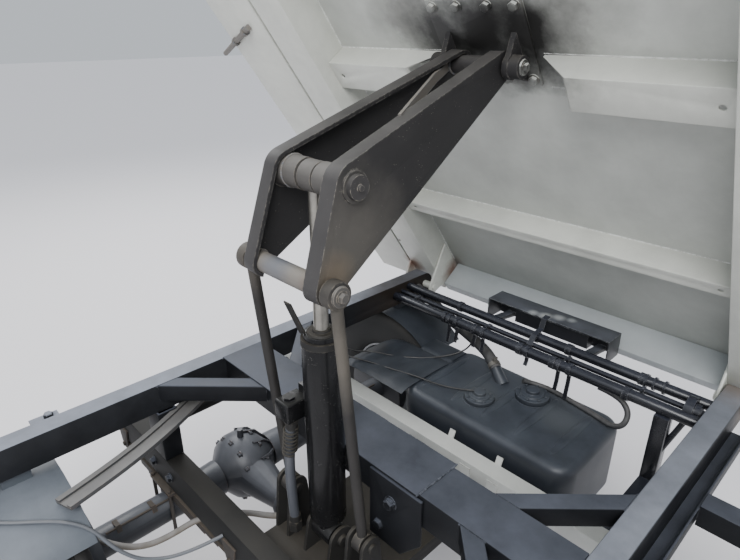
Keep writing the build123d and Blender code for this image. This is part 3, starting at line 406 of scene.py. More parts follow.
# Welds on the subframe: short overlapping beads where the braces meet the beams and the spine, and where
# the spine's cover plate ends. They are painted over with the frame.
BEAD = 0.0035
BRACE_OUTER = 0.190
BRACE_INNER = 0.1363
BRACE_LAP = 0.008
COVER_FRONT = -0.774
FRAME_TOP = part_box("rear_beam")[1].z
BEAM_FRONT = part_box("rear_beam")[1].x
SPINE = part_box("subframe_spine")


def aim(start, end):
    """The matrix that puts a shape made along Z with its middle halfway between two points."""
    start, end = Vector(start), Vector(end)
    return Matrix.Translation((start + end) / 2) @ (end - start).to_track_quat("Z", "Y").to_matrix().to_4x4()


def rod(shape, start, end, radius, far=None, sides=20):
    """A round bar or cone between two points, with its ends closed."""
    bmesh.ops.create_cone(
        shape, cap_ends=True, segments=sides, radius1=radius, radius2=radius if far is None else far,
        depth=(Vector(end) - Vector(start)).length, matrix=aim(start, end),
    )


def bead(shape, spot, size, flat=1.0):
    """One puddle of weld, a little smaller or larger than its neighbours."""
    place = Matrix.Translation(spot) @ Matrix.Diagonal((1, 1, flat, 1))
    radius = size * random.uniform(0.85, 1.15)
    bmesh.ops.create_icosphere(shape, subdivisions=1, radius=radius, matrix=place)


def weld(shape, start, end, size=BEAD):
    """A run of weld beads from one point to another."""
    start, end = Vector(start), Vector(end)
    count = max(2, round((end - start).length / (size * 1.3)))
    for step in range(count + 1):
        bead(shape, start.lerp(end, step / count), size, 0.8)


def weld_ring(shape, centre, axis, radius, size=BEAD):
    """A ring of weld beads round an axis."""
    turn = Vector(axis).to_track_quat("Z", "Y").to_matrix()
    count = round(2 * math.pi * radius / (size * 1.3))
    for step in range(count):
        angle = 2 * math.pi * step / count
        spoke = Vector((radius * math.cos(angle), radius * math.sin(angle), 0))
        bead(shape, Vector(centre) + turn @ spoke, size)


def bolt(shape, place, way, across=0.019, high=0.011):
    """A hex bolt head with its washer on a face at a place, pointing a way."""
    place, way = Vector(place), Vector(way).normalized()
    rod(shape, place - way * 0.001, place + way * 0.002, across * 0.72, sides=24)
    rod(shape, place + way * 0.001, place + way * high * 0.85, across * 0.577, sides=6)
    rod(shape, place + way * high * 0.84, place + way * high, across * 0.577, across * 0.46, sides=6)


shape = bmesh.new()
high = FRAME_TOP - BEAD
for end, way in ((BEAM_FRONT, 1), (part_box("front_beam")[0].x, -1)):
    for edge, out in ((SPINE[1].y - BRACE_LAP, 1), (SPINE[0].y + BRACE_LAP, -1)):
        weld(shape, (end, edge + out * BRACE_OUTER, high), (end, edge + out * BRACE_INNER, high), 0.003)
        weld(shape, (end + way * BRACE_OUTER, edge, high), (end + way * BRACE_INNER, edge, high), 0.003)
for x, high, size in ((BEAM_FRONT, FRAME_TOP - 0.002, 0.003), (COVER_FRONT, FRAME_TOP + 0.002, 0.0025)):
    weld(shape, (x, SPINE[0].y, high), (x, SPINE[1].y, high), size)
for x in (-1.19, -1.02, -0.90):
    weld(shape, (x, SPINE[1].y, FRAME_TOP + 0.001), (x + 0.05, SPINE[1].y, FRAME_TOP + 0.001), 0.0025)
fit("frame_welds", shape, black_enamel_dust_and_painted_sheen, "chassis")

# Bolts on the fixed frame: hex heads with washers on the gusset, the stay post, the rails and the front
# channel, painted over with the frame.
shape = bmesh.new()
gusset, stay, channel = (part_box(node) for node in ("spine_gusset", "stay_post", "front_channel"))
bolt(shape, (gusset[0].x + 0.062, gusset[0].y + 0.009, 0.185), (0, -1, 0), 0.021, 0.013)
bolt(shape, (stay[0].x + 0.0175, stay[1].y - 0.0175, stay[0].z), (0, 0, -1))
for x in (-1.525, -1.435):
    for side in (1, -1):
        bolt(shape, (x, side * 0.301, -0.02), (0, side, 0), 0.017)
for y in (-0.59, -0.20, 0.25, 0.52):
    bolt(shape, (channel[0].x + 0.018, y, channel[0].z + 0.005), (0, 0, 1), 0.015, 0.009)
fit("frame_bolts", shape, black_enamel_dust_and_painted_sheen, "chassis")

# Lock shafts and their pressed bracket: drawn tubes that lock the bed down, in a glossier black coat, held by
# bent straps. The bracket's sheet is folded and bolted to the beams, its coat flaking.
SHAFT_UP = Vector((0, 0.625, 0.224))
SHAFT_LOW = Vector((0, 0.560, 0.207))
UP_RADIUS = 0.0135
LOW_RADIUS = 0.015
PULL = Vector((0, 0.592, 0.214))
PULL_RADIUS = 0.0075
# Gloss black enamel: it mirrors the sky in long streaks. Flaking enamel: four pale spots of bare primer
gloss_enamel = enamel(
    "gloss_black_enamel", "0F1015", "565A69", "6F6F72", rough=(0.16, 0.36), top_share=0.3, even=0.5,
)
paint_flakes = enamel(
    "flaking_black_enamel", "15161A", "6B6F78", "9EA0A0", rough=(0.3, 0.5), wear=0.004, top_share=0.7, even=0.1,
    stains=(
        ((-1.000, 0.665, 0.273), 0.022, "A3A6A6", 0.9), ((-0.965, 0.672, 0.273), 0.026, "A9ABAA", 0.9),
        ((-0.930, 0.690, 0.273), 0.024, "A3A6A6", 0.9), ((-0.895, 0.700, 0.273), 0.018, "999D9E", 0.9),
    ),
)
for node in ("lock_shaft_upper", "lock_shaft_lower", "stay_post"):
    dress(node, gloss_enamel, 0.0015)
dress("shaft_bracket", paint_flakes, 0.0015)


def band(shape, x, wide, centre, radius, thick=0.003):
    """A strap's ring round a shaft along X: a small rectangle spun once round it."""
    corners = [(x, radius), (x + wide, radius), (x + wide, radius + thick), (x, radius + thick)]
    start = [shape.verts.new((px, centre.y, centre.z + reach)) for px, reach in corners]
    face = shape.faces.new(start)
    bmesh.ops.spin(
        shape, geom=[face, *face.edges, *face.verts], cent=(x, centre.y, centre.z), axis=(1, 0, 0),
        angle=2 * math.pi, steps=24, use_merge=True, use_duplicate=False,
    )


def strip(shape, path, wide, thick, along=(1, 0, 0)):
    """A flat strip that follows a path of points; along is its width's direction."""
    along = Vector(along).normalized()
    path = [Vector(point) for point in path]
    rings = []
    for index, point in enumerate(path):
        ahead = path[min(index + 1, len(path) - 1)] - path[max(index - 1, 0)]
        rise = ahead.cross(along).normalized() * thick / 2
        side = along * wide / 2
        corners = (side + rise, rise - side, -side - rise, side - rise)
        rings.append([shape.verts.new(point + corner) for corner in corners])
    edges = [[shape.edges.new(pair) for pair in zip(ring, ring[1:] + ring[:1])] for ring in rings]
    for one, two in zip(edges, edges[1:]):
        bmesh.ops.bridge_loops(shape, edges=one + two)
    shape.faces.new(rings[0])
    shape.faces.new(rings[-1])


shape = bmesh.new()
for x, wide in ((-0.965, 0.016), (-0.862, 0.016), (-1.235, 0.012), (-0.66, 0.016)):
    band(shape, x, wide, SHAFT_UP, UP_RADIUS)
    band(shape, x - 0.01, wide, SHAFT_LOW, LOW_RADIUS)
# A thin pull rod lies between the shafts, clipped to the lower one
rod(shape, (-1.456, PULL.y, PULL.z), (-0.52, PULL.y, PULL.z), PULL_RADIUS)
for x in (-1.38, -1.10, -0.84, -0.64):
    band(shape, x, 0.008, PULL, PULL_RADIUS)
    clip = PULL + Vector((x + 0.004, 0, 0))
    strip(shape, (clip + Vector((0, -0.007, 0.006)), clip + Vector((0, -0.022, 0.0085))), 0.008, 0.003)
# The strap that hangs from the bracket's edge over both shafts
hanger = ((0.672, 0.275), (0.652, 0.272), (0.643, 0.245), (0.606, 0.238), (0.583, 0.215), (0.578, 0.185))
strip(shape, [(-0.955, y, z) for y, z in hanger], 0.016, 0.003)
# Hooks under the lower shaft; columns: place along it, height of the tip
for x, low in (
    (-1.221, 0.128), (-1.192, 0.138), (-1.124, 0.150), (-1.094, 0.146), (-0.944, 0.165), (-0.847, 0.130),
    (-0.815, 0.118),
):
    band(shape, x - 0.006, 0.012, SHAFT_LOW, LOW_RADIUS, 0.0025)
    strip(shape, ((x, 0.560, 0.191), (x, 0.558, 0.16 if low < 0.15 else 0.178), (x, 0.552, low)), 0.011, 0.003)
fit("shaft_straps", shape, gloss_enamel, "chassis")

# Latch linkage at the front end of the lock shafts: a ring lever on the pull rod, its boss, a bent rod down
# to the post and three rings on the upper shaft. Forged steel in the shafts' gloss black.
shape = bmesh.new()
rod(shape, (-0.535, PULL.y, PULL.z), (-0.515, PULL.y, PULL.z), 0.034, sides=28)
rod(shape, (-0.515, PULL.y, PULL.z), (-0.503, PULL.y, PULL.z), 0.020, sides=24)
rod(shape, (-0.53, 0.592, 0.18), (-0.56, 0.555, 0.09), 0.007)
rod(shape, (-0.56, 0.555, 0.09), (-0.562, 0.545, 0.04), 0.007)
bolt(shape, (-0.503, PULL.y, PULL.z), (1, 0, 0), 0.02)
for x in (-0.60, -0.625, -0.645):
    band(shape, x, 0.006, SHAFT_UP, UP_RADIUS, 0.004)
fit("latch_linkage", shape, gloss_enamel, "chassis")

# Hoist arm and links: flame-cut plates welded to three cross tubes, and two flat links with round eyes, on
# greased pins. Dusty black enamel, rubbed to a grey-beige along the edges.
HOIST_X = -0.978
PIVOT_A = Vector((HOIST_X, 0.2720, 0.9745))
PIVOT_B = Vector((HOIST_X, -0.1510, 0.8210))
PIVOT_C = Vector((HOIST_X, -0.2140, 0.6660))
# Arm and links: dull black with pale mud splashes. Edges and tubes: the same coat rubbed down to a warm
# grey, almost bare on the lower tube. Base: black under brown dirt, with no shine
arm_enamel = enamel(
    "dusty_arm_enamel", "242324", "7D786F", "625F5A", rough=(0.5, 0.75), wear=0.005, top_share=0.3, specks=0.8,
    shine=0.2,
    stains=(((-0.89, -0.16, 0.735), 0.14, "625E58", 0.55), ((-0.89, -0.20, 0.69), 0.05, "6E6252", 0.6)),
)
arm_edge = enamel(
    "rubbed_arm_edge", "2F2D2D", "6E6B67", "8F897D", rough=(0.45, 0.7), top_share=0.45, even=0.2, specks=0.5,
    shine=0.3,
)
dusty_tube = enamel(
    "dusty_tube_enamel", "45423F", "807C76", "8D8475", rough=(0.6, 0.8), top_share=0.6, even=0.5, specks=0.4,
)
worn_tube = enamel(
    "worn_tube_enamel", "65605A", "8E887D", "5F646C", rough=(0.45, 0.7), wear=0.006, top_share=0.55,
    stains=(
        ((-0.908, PIVOT_C.y, PIVOT_C.z), 0.035, "5A4234", 0.7),
        ((-1.00, PIVOT_C.y, 0.68), 0.05, "555B66", 0.7),
    ),
)
link_enamel = enamel(
    "dusty_link_enamel", "1F1D1C", "6A645A", "7D766A", rough=(0.5, 0.75), wear=0.005, top_share=0.4, specks=0.8,
    shine=0.35,
    stains=(
        ((-1.094, PIVOT_C.y, 0.66), 0.07, "5E5850", 0.5), ((-0.862, PIVOT_C.y, 0.56), 0.13, "6A645B", 0.6),
    ),
)
base_enamel = enamel(
    "dusty_base_enamel", "191817", "4A453D", "5A544A", rough=(0.55, 0.8), top_share=0.6, even=0.5, shine=0.3,
)


def near(axis, reach, half):
    """Tests whether a face's middle is close to a line along X and not far from the hoist's middle."""
    def test(face):
        spot = face.calc_center_median()
        return math.hypot(spot.y - axis.y, spot.z - axis.z) < reach and abs(spot.x - HOIST_X) < half
    return test


dress("hoist_arm", arm_enamel, 0.006, 4, (
    (arm_edge, lambda face: abs(face.normal.x) < 0.75),
    (dusty_tube, near(PIVOT_B, 0.030, 0.0835)), (worn_tube, near(PIVOT_C, 0.020, 0.094)),
))
for node in ("link_front", "link_rear"):
    dress(node, link_enamel, 0.0015)
dress("hoist_base", base_enamel, 0.0015)

# Ring welds of the arm's three tubes on the inner faces of its plates, and the flat bar that braces the
# plates on the diagonal. Bare beads, rubbed as the tubes are.
shape = bmesh.new()
for side in (1, -1):
    # columns: tube's pivot, half of its length, its radius, size of the beads
    for pivot, half, radius, size in (
        (PIVOT_B, 0.0565, 0.0280, 0.0022), (PIVOT_C, 0.088, 0.0190, 0.0025), (PIVOT_A, 0.0555, 0.0190, 0.0025),
    ):
        weld_ring(shape, pivot + Vector((side * half, 0, 0)), (1, 0, 0), radius, size)
diagonal = ((-1.034, 0.246, 0.970), (-1.010, 0.180, 0.953), (-0.9225, -0.010, 0.903))
strip(shape, diagonal, 0.018, 0.006, (0, -0.34, 0.94))
fit("arm_welds_and_brace", shape, worn_tube, "hoist_arm")

# Pin ends of the arm's middle tube and of the links: turned collars, grease caps and keeper bolts, pressed
# or screwed on from outside.
shape = bmesh.new()
for side in (1, -1):
    outer = PIVOT_B + Vector((side * 0.0820, 0, 0))
    # columns: from and to, counted outwards from the plate, radius at each, sides
    for inside, outside, radius, far, sides in (
        (0, 0.0065, 0.0330, 0.0320, 36), (0, 0.0240, 0.0215, 0.0200, 32), (0.0235, 0.0285, 0.0060, 0.0050, 18),
    ):
        start, end = (outer + Vector((side * out, 0, 0)) for out in (inside, outside))
        rod(shape, start, end, radius, far, sides)
fit("arm_pin_caps", shape, arm_edge, "hoist_arm")

shape = bmesh.new()
for side in (1, -1):
    outer = PIVOT_C + Vector((side * 0.1270, 0, 0))
    rod(shape, outer, outer + Vector((side * 0.004, 0, 0)), 0.0185, 0.0170, 28)
    bolt(shape, outer + Vector((side * 0.003, 0, 0)), (side, 0, 0), 0.016, 0.009)
fit("link_pin_caps", shape, dusty_tube, "links")

# Cylinder: a honed tube on a pin at the hoist's base, its rod pinned to the arm's middle tube. Gloss black
# with pale mud splashes; the chromed rod is dull with a film of dust and its eye is painted over.
CYL_BASE = Vector((HOIST_X, -0.152, 0.045))
CYL_WAY = (PIVOT_B - CYL_BASE).normalized()
BARREL = 0.039
BARREL_END = CYL_BASE + CYL_WAY * 0.475
FILM_MM = 16.7
barrel_enamel = enamel(
    "cylinder_enamel", "09090B", "63625E", "3A3A3E", rough=(0.14, 0.36), wear=0.002, top_share=0.2, specks=0.9,
    shine=0.22,
)
dress("cylinder_barrel", barrel_enamel, 0.0012)
chrome, tree, surface = material("dusty_chrome")
spot = add(tree, "TexCoord").outputs["Object"]
streak = add(tree, "TexNoise", links={"Vector": spot, "Scale": 1000 / FILM_MM, "Detail": 4}).outputs["Fac"]
shade = add(tree, "MixRGB", links={"Fac": streak, "Color1": linear("6E6C68"), "Color2": linear("A9A59C")})
tree.links.new(shade.outputs["Color"], surface.inputs["Base Color"])
surface.inputs["Metallic"].default_value = 0.85
surface.inputs["Roughness"].default_value = 0.33
dress("piston_rod", chrome, 0.001, patches=((dusty_tube, near(PIVOT_B, 0.034, 0.02)),))

# Gland ring, nut and wiper at the barrel's end, the weld round its foot, and a bent tab beside the rod.
# Turned and folded steel under the same dirt as the base.
shape = bmesh.new()
# columns: from and to along the barrel, counted from its end, radius at each, sides
for low, high, radius, far, sides in (
    (-0.010, 0.003, BARREL + 0.0012, BARREL + 0.0005, 40), (0.010, 0.0155, 0.030, 0.026, 36),
    (0.015, 0.020, 0.0185, 0.0165, 28),
):
    rod(shape, BARREL_END + CYL_WAY * low, BARREL_END + CYL_WAY * high, radius, far, sides)
weld_ring(shape, CYL_BASE + CYL_WAY * 0.046, CYL_WAY, 0.030, 0.0035)
tab = CYL_BASE + CYL_WAY * 0.520
bent = (
    BARREL_END + Vector((-0.026, -0.022, 0.004)), tab + Vector((-0.030, -0.040, 0.006)),
    tab + Vector((-0.034, -0.048, 0.030)),
)
strip(shape, bent, 0.020, 0.003)
fit("cylinder_gland", shape, base_enamel, "cylinder")

# Oil port and hose: a block on the barrel with an elbow, a rubber hose down to a swivel at the base, and a
# coil of spring wire that guards its upper end. Forged steel fittings, screwed together.
OIL_ROUTE = (
    (-1.026, -0.198, 0.332), (-1.028, -0.202, 0.290), (-1.031, -0.2055, 0.235), (-1.034, -0.204, 0.175),
    (-1.038, -0.199, 0.115), (-1.040, -0.195, 0.052),
)
HOSE_TOP = Vector(OIL_ROUTE[0])
HOSE_END = Vector(OIL_ROUTE[-1])
shape = bmesh.new()
block = Matrix.Translation((-1.030, -0.190, 0.358)) @ Matrix.Diagonal((0.042, 0.056, 0.044, 1))
bmesh.ops.create_cube(shape, size=1, matrix=block)
soften(shape, shape.edges[:], 0.004, 3)
rod(shape, (-1.030, -0.197, 0.379), (-1.030, -0.197, 0.386), 0.0125, sides=6)
rod(shape, (-1.0505, -0.190, 0.356), (-1.056, -0.190, 0.356), 0.0110, sides=6)
fit("oil_port_block", shape, barrel_enamel, "cylinder")

# columns: name, how far its hex stands past the hose's end, that end, which way it points
for name, top, spot, way in (("oil_hose_elbow", 0.008, HOSE_TOP, 1), ("oil_hose_swivel", 0.022, HOSE_END, -1)):
    shape = bmesh.new()
    rod(shape, spot + Vector((0, 0, way * top)), spot - Vector((0, 0, way * 0.004)), 0.0150, sides=6)
    rod(shape, spot + Vector((0, 0, way * 0.002)), spot - Vector((0, 0, way * 0.020)), 0.0135, 0.0122, 24)
    fit(name, shape, base_enamel, "cylinder")

shape = bmesh.new()
WIRE = 0.0021
COIL = 0.0142
TURNS = 7
STEPS = 18
COIL_HEIGHT = 0.062
start = HOSE_TOP + Vector((0, 0, -0.018))
bmesh.ops.create_circle(shape, segments=8, radius=WIRE, cap_ends=True)
turn = Matrix.Translation(start + Vector((COIL, 0, 0))) @ Matrix.Rotation(math.radians(90), 4, "X")
bmesh.ops.transform(shape, matrix=turn, verts=shape.verts)
steps = TURNS * STEPS
bmesh.ops.spin(
    shape, geom=shape.faces[:] + shape.edges[:] + shape.verts[:], cent=start, axis=(0, 0, 1),
    angle=TURNS * 2 * math.pi, steps=steps, dvec=Vector((0, 0, -COIL_HEIGHT)) / steps, use_duplicate=False,
)
# The coil leans with the hose
lean = (Vector(OIL_ROUTE[2]) - HOSE_TOP) / (OIL_ROUTE[2][2] - HOSE_TOP.z)
for vert in shape.verts:
    vert.co += Vector((lean.x, lean.y, 0)) * (vert.co.z - HOSE_TOP.z)
guard_coil = fit("oil_hose_spring", shape, base_enamel, "cylinder")
hose("oil_hose", "cylinder", oil_rubber, 0.0108, OIL_ROUTE)

# Chassis rails and cross tubes: pressed steel in off-white enamel, grimed with spray. The right rail is given
# a
# # near-black coat as painted shade, so that it sinks into the dark below the bed; the tubes lie in the spray
# from
# # the wheel and have a dark coat of underseal.
rail_enamel = enamel("off_white_enamel", "C2C3BF", "A5A297", "6B5A4C", rough=(0.25, 0.45), top_share=0.2)
underseal_and_painted_shade = enamel(
    "dusty_underseal_and_painted_shade", "141414", "37342F", "2E2925", rough=(0.6, 0.85), top_share=0.5, even=0.4, shine=0.25,
)
dress("chassis_rail_left", rail_enamel, 0.011, 5)
dress("front_end_plate", rail_enamel, 0.002)
# The right rail's near-black coat is painted shade; the tubes' coat is underseal
for node in ("chassis_rail_right", "cross_tubes", "propeller_shaft"):
    dress(node, underseal_and_painted_shade, 0.002)

# Tabs and legs on the left rail: bent strips of the same off-white steel, spot-welded to its sides.
shape = bmesh.new()
for x in (-0.912, -0.828):
    leg = ((x, 0.2505, 0.010), (x, 0.2485, -0.020), (x, 0.236, -0.050), (x, 0.226, -0.120))
    strip(shape, leg, 0.034, 0.005)
for x in (-1.000, -0.848):
    strip(shape, ((x, 0.2985, 0.005), (x, 0.302, 0.024), (x, 0.310, 0.042)), 0.018, 0.003)
fit("rail_tabs", shape, rail_enamel, "chassis")

# Running gear: a cast axle on two packs of leaf springs, clamped with U-bolts. The axle is painted black
# and grey with dust on top, and the springs are brown with dry scale, with no shine.
AXLE = Vector((-1.490, -0.060, -0.155))
axle_enamel = enamel(
    "axle_enamel", "1C1E23", "6C6E74", "5B4636", rough=(0.3, 0.55), top_share=0.6, even=0.5, shine=0.35,
)
dress("rear_axle", axle_enamel, 0.002)
spring_rust = enamel("spring_scale", "2E2925", "5F5548", "6A4C36", rough=(0.6, 0.85))
for node in ("leaf_spring_left", "leaf_spring_right", "spring_hangers", "spring_clamps"):
    dress(node, spring_rust, 0.0008)

# Differential: cover bolts on both its sides, four cast ribs, the bolts of the propeller shaft's flange, the
# breather and the tapers of the axle tubes. All cast or screwed on, under the axle's paint.
shape = bmesh.new()
COVER_BOLTS = 12
FLANGE_BOLTS = 4
for step in range(COVER_BOLTS):
    angle = 2 * math.pi * step / COVER_BOLTS
    reach = Vector((math.cos(angle), 0, math.sin(angle))) * 0.090
    for side in (1, -1):
        bolt(shape, AXLE + reach + Vector((0, side * 0.030, 0)), (0, side, 0), 0.014, 0.009)
for turn in (35, 65, 95, 125):
    reach = Vector((math.cos(math.radians(turn)), 0, math.sin(math.radians(turn))))
    # columns: distance out from the axle's middle line, distance along it
    rib = [AXLE + reach * out + Vector((0, along, 0)) for out, along in (
        (0.102, 0.014), (0.088, 0.052), (0.045, 0.084),
    )]
    strip(shape, rib, 0.006, 0.008, reach.cross(Vector((0, 1, 0))))
for step in range(FLANGE_BOLTS):
    angle = math.pi / 4 + 2 * math.pi * step / FLANGE_BOLTS
    spot = AXLE + Vector((0.209, 0.030 * math.cos(angle), 0.030 * math.sin(angle)))
    bolt(shape, spot, (-1, 0, 0), 0.013, 0.008)
rod(shape, AXLE + Vector((0, 0, 0.095)), AXLE + Vector((0, 0, 0.125)), 0.010, 0.008)
for side, end in ((-1, 0.305), (1, 0.420)):
    rod(shape, AXLE + Vector((0, side * 0.085, 0)), AXLE + Vector((0, side * end, 0)), 0.052, 0.034, 40)
fit("axle_bolts_and_ribs", shape, axle_enamel, "chassis")

# Brake pipes: thin steel tube along the axle from its middle to each drum, held to it by bent clips, and
# browned by the same scale as the springs.
shape = bmesh.new()
for side in (-1, 1):
    start = AXLE + Vector((0.022, side * 0.10, 0.040))
    end = Vector((start.x, side * 0.470, start.z))
    rod(shape, start, end, 0.0032, sides=10)
    for share in (0.25, 0.6, 0.9):
        y = start.lerp(end, share).y
        # columns: distance ahead of the axle's middle line, height over it
        clip = [(AXLE.x + ahead, y, AXLE.z + rise) for ahead, rise in (
            (-0.006, 0.0415), (0.012, 0.0415), (0.022, 0.0450), (0.031, 0.030),
        )]
        strip(shape, clip, 0.012, 0.002, (0, 1, 0))
fit("brake_pipes", shape, spring_rust, "chassis")

# Wheels: pressed steel rims in silver enamel, satin and chipped, and dull black tyres with three grooves
# round the tread. Four nuts, zinc-plated and dulled to a flat grey, hold each rim.
HALF_TRACK = 0.612
NUTS = 4
TYRE_STEPS = 72
zinc = enamel("dull_zinc", "6F6C66", "8A8378", "9A968E", rough=(0.4, 0.6), top_share=0.3, metal=0.6)
rim_enamel = enamel("silver_rim_enamel", "8E9092", "77726A", "6B5A4C", rough=(0.35, 0.55), metal=0.3)
tyre_rubber = enamel("tyre_rubber", "1C1C1C", "55514A", "2A2A2A", rough=(0.7, 0.9))
# columns: distance from the axle, distance from the tyre's middle, from the bead to the middle groove
HALF_TYRE = (
    (0.152, 0.0545), (0.158, 0.0620), (0.172, 0.0685), (0.190, 0.0715), (0.207, 0.0725), (0.225, 0.0720),
    (0.240, 0.0705), (0.252, 0.0665), (0.261, 0.0610), (0.267, 0.0545), (0.2695, 0.047), (0.270, 0.0375),
    (0.270, 0.037), (0.262, 0.0355), (0.262, 0.0285), (0.270, 0.027), (0.270, 0.005), (0.262, 0.0035),
)
for side, way in (("left", 1), ("right", -1)):
    dress("rim_" + side, rim_enamel, 0.001)
    # Tyre: the section and its mirror image, spun round the axle
    middle = Vector((AXLE.x, way * HALF_TRACK, AXLE.z))
    outline = [*HALF_TYRE, *((reach, -across) for reach, across in reversed(HALF_TYRE))]
    shape = bmesh.new()
    ring = [shape.verts.new(middle + Vector((0, across, reach))) for reach, across in outline]
    loop = [shape.edges.new(pair) for pair in zip(ring, ring[1:] + ring[:1])]
    bmesh.ops.spin(
        shape, geom=ring + loop, cent=middle, axis=(0, 1, 0), angle=2 * math.pi, steps=TYRE_STEPS,
        use_merge=True, use_duplicate=False,
    )
    bmesh.ops.remove_doubles(shape, verts=shape.verts, dist=0.00001)
    tyre = fit("tyre_" + side + "_treaded", shape, tyre_rubber, "wheel_" + side)
    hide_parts("tyre_" + side)
    # Wheel nuts on the dish
    shape = bmesh.new()
    for step in range(NUTS):
        angle = math.pi / 4 + 2 * math.pi * step / NUTS
        spot = middle + Vector((0.054 * math.cos(angle), way * 0.030, 0.054 * math.sin(angle)))
        bolt(shape, spot, (0, way, 0), 0.019, 0.014)
    fit("wheel_nuts_" + side, shape, zinc, "wheel_" + side)

# Mudguards and the splash apron that joins the left one to the rail and the tank: vacuum-formed plastic,
# screwed to the frame. Blue-grey, dull where the spray dried on it and brown by the spring.
guard_plastic = enamel(
    "formed_guard_plastic", "454B52", "7C8188", "6C7177", rough=(0.4, 0.6), top_share=0.55, even=0.5,
)
apron_plastic = enamel(
    "dusty_apron_plastic", "1E2228", "50555D", "3B4148", rough=(0.35, 0.6), top_share=0.5, even=0.25, shine=0.35,
    stains=(((-1.46, 0.40, 0.12), 0.10, "4A4238", 0.6),),
)
dress("mudguard_left", apron_plastic, 0.0008)
dress("mudguard_right", guard_plastic, 0.0008)
SHEET = 0.003
DENT = 0.003
EDGE_SAG = 0.010
# columns: rear and front edge along the truck, inner and outer edge across it, top, droop of the rear edge
APRONS = ((-1.452, -1.180, 0.296, 0.529, 0.0885, 0.030), (-1.306, -1.180, 0.522, 0.612, 0.0875, 0.0))
shape = bmesh.new()
for back, front, inner, outer, top, droop in APRONS:
    made = bmesh.ops.create_grid(shape, x_segments=28, y_segments=20, size=1)["verts"]
    for vert in made:
        across, along = vert.co.x, vert.co.y
        sag = droop * max(0, -across) ** 4 + EDGE_SAG * abs(along) ** 6
        dents = DENT * math.cos(across * 3.5 * math.pi) * (1 - along * along) * (droop > 0)
        vert.co = (
            (back + front) / 2 + across * (front - back) / 2,
            (inner + outer) / 2 + along * (outer - inner) / 2,
            top - sag + dents - SHEET,
        )
bmesh.ops.recalc_face_normals(shape, faces=shape.faces)
bmesh.ops.solidify(shape, geom=shape.faces[:], thickness=SHEET)
fit("splash_apron", shape, apron_plastic, "chassis")

# Mudguard stay: a pressed strip with a groove that curves from the rear beam's foot to the right mudguard,
# bolted on at both ends.
STAY_STEPS = 16
STAY = []
for step in range(STAY_STEPS + 1):
    share = step / STAY_STEPS
    bow = math.sin(math.pi * share)
    STAY.append((
        -1.474 + 0.124 * share + 0.024 * bow, -0.150 - 0.410 * share, 0.163 - 0.037 * share + 0.004 * bow,
    ))
shape = bmesh.new()
for shift, wide, lift in ((0.0, 0.046, 0.0), (-0.017, 0.013, 0.006), (0.017, 0.013, 0.006)):
    strip(shape, [(x + shift, y + shift * 0.35, z + lift) for x, y, z in STAY], wide, 0.006, (1, 0.35, 0))
# Grey enamel with a dull beige film of dust
stay_paint = enamel("dusty_stay_enamel", "3E3F41", "807D79", "6B5A4C", rough=(0.45, 0.7), top_share=0.6, even=0.5)
fit("mudguard_stay", shape, stay_paint, "chassis")

# Bolt tab on the rear beam's back edge: a small bent plate, welded to the beam and painted with it, with a
# hex bolt on top.
shape = bmesh.new()
bend = ((-1.506, 0.195), (-1.508, 0.222), (-1.514, 0.228), (-1.545, 0.229))
strip(shape, [(x, -0.520, z) for x, z in bend], 0.060, 0.005, (0, 1, 0))
bolt(shape, (-1.528, -0.512, 0.230), (0, 0, 1), 0.018, 0.013)
fit("beam_tab", shape, beam_enamel_dust_and_painted_sheen, "chassis")

# Fuel tank: blow-moulded plastic with soft corners and five ridges on top, held by steel straps. Dull
# blue-black with a pale film of dust and a few washed spots.
tank_plastic = enamel(
    "moulded_tank_plastic", "20242B", "545A63", "3B4148", rough=(0.35, 0.55), top_share=0.5, even=0.25,
    specks=0.25,
    stains=(((-1.02, 0.46, 0.085), 0.10, "6A6E70", 0.25), ((-0.80, 0.52, 0.085), 0.09, "6A6E70", 0.3)),
)
low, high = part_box("fuel_tank")
TANK_TOP = 0.080
TANK_RIDGES = (-0.745, -0.849, -0.953, -1.056, -1.160)
shape = bmesh.new()
size = Vector((high.x - low.x, high.y - low.y, TANK_TOP - low.z))
middle = Vector(((low.x + high.x) / 2, (low.y + high.y) / 2, (low.z + TANK_TOP) / 2))
bmesh.ops.create_cube(shape, size=1, matrix=Matrix.Translation(middle) @ Matrix.Diagonal((*size, 1)))
for upright, round_off, segments in ((True, 0.055, 8), (False, 0.024, 6)):
    edges = []
    for edge in shape.edges:
        rise = abs((edge.verts[0].co - edge.verts[1].co).normalized().z)
        if (rise > 0.9) == upright and edge.calc_face_angle(0) > SHARP:
            edges.append(edge)
    soften(shape, edges, round_off, segments)
for x in TANK_RIDGES:
    ridge = Matrix.Translation((x, 0.4785, TANK_TOP - 0.001)) @ Matrix.Diagonal((0.015, 0.112, 0.0055, 1))
    bmesh.ops.create_uvsphere(shape, u_segments=32, v_segments=16, radius=1, matrix=ridge)
tank = fit("fuel_tank_moulded", shape, tank_plastic, "chassis")
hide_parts("fuel_tank")
dress("tank_fittings", tank_plastic, 0.003, 3)
dress("tank_straps", black_enamel_dust_and_painted_sheen, 0.001)

# Filler neck, and the screws and moulded rings of the two flanges on the tank's top: the tank's plastic,
# with the screws dusted over to the same grey.
FILLER = [Vector(point) for point in HOSES["filler_hose"][3]]
NECK = FILLER[0]
FLANGE_SCREWS = 8
shape = bmesh.new()
rod(shape, (NECK.x + 0.034, NECK.y - 0.010, 0.074), NECK + Vector((-0.006, 0.003, 0.003)), 0.019, 0.0155, 28)
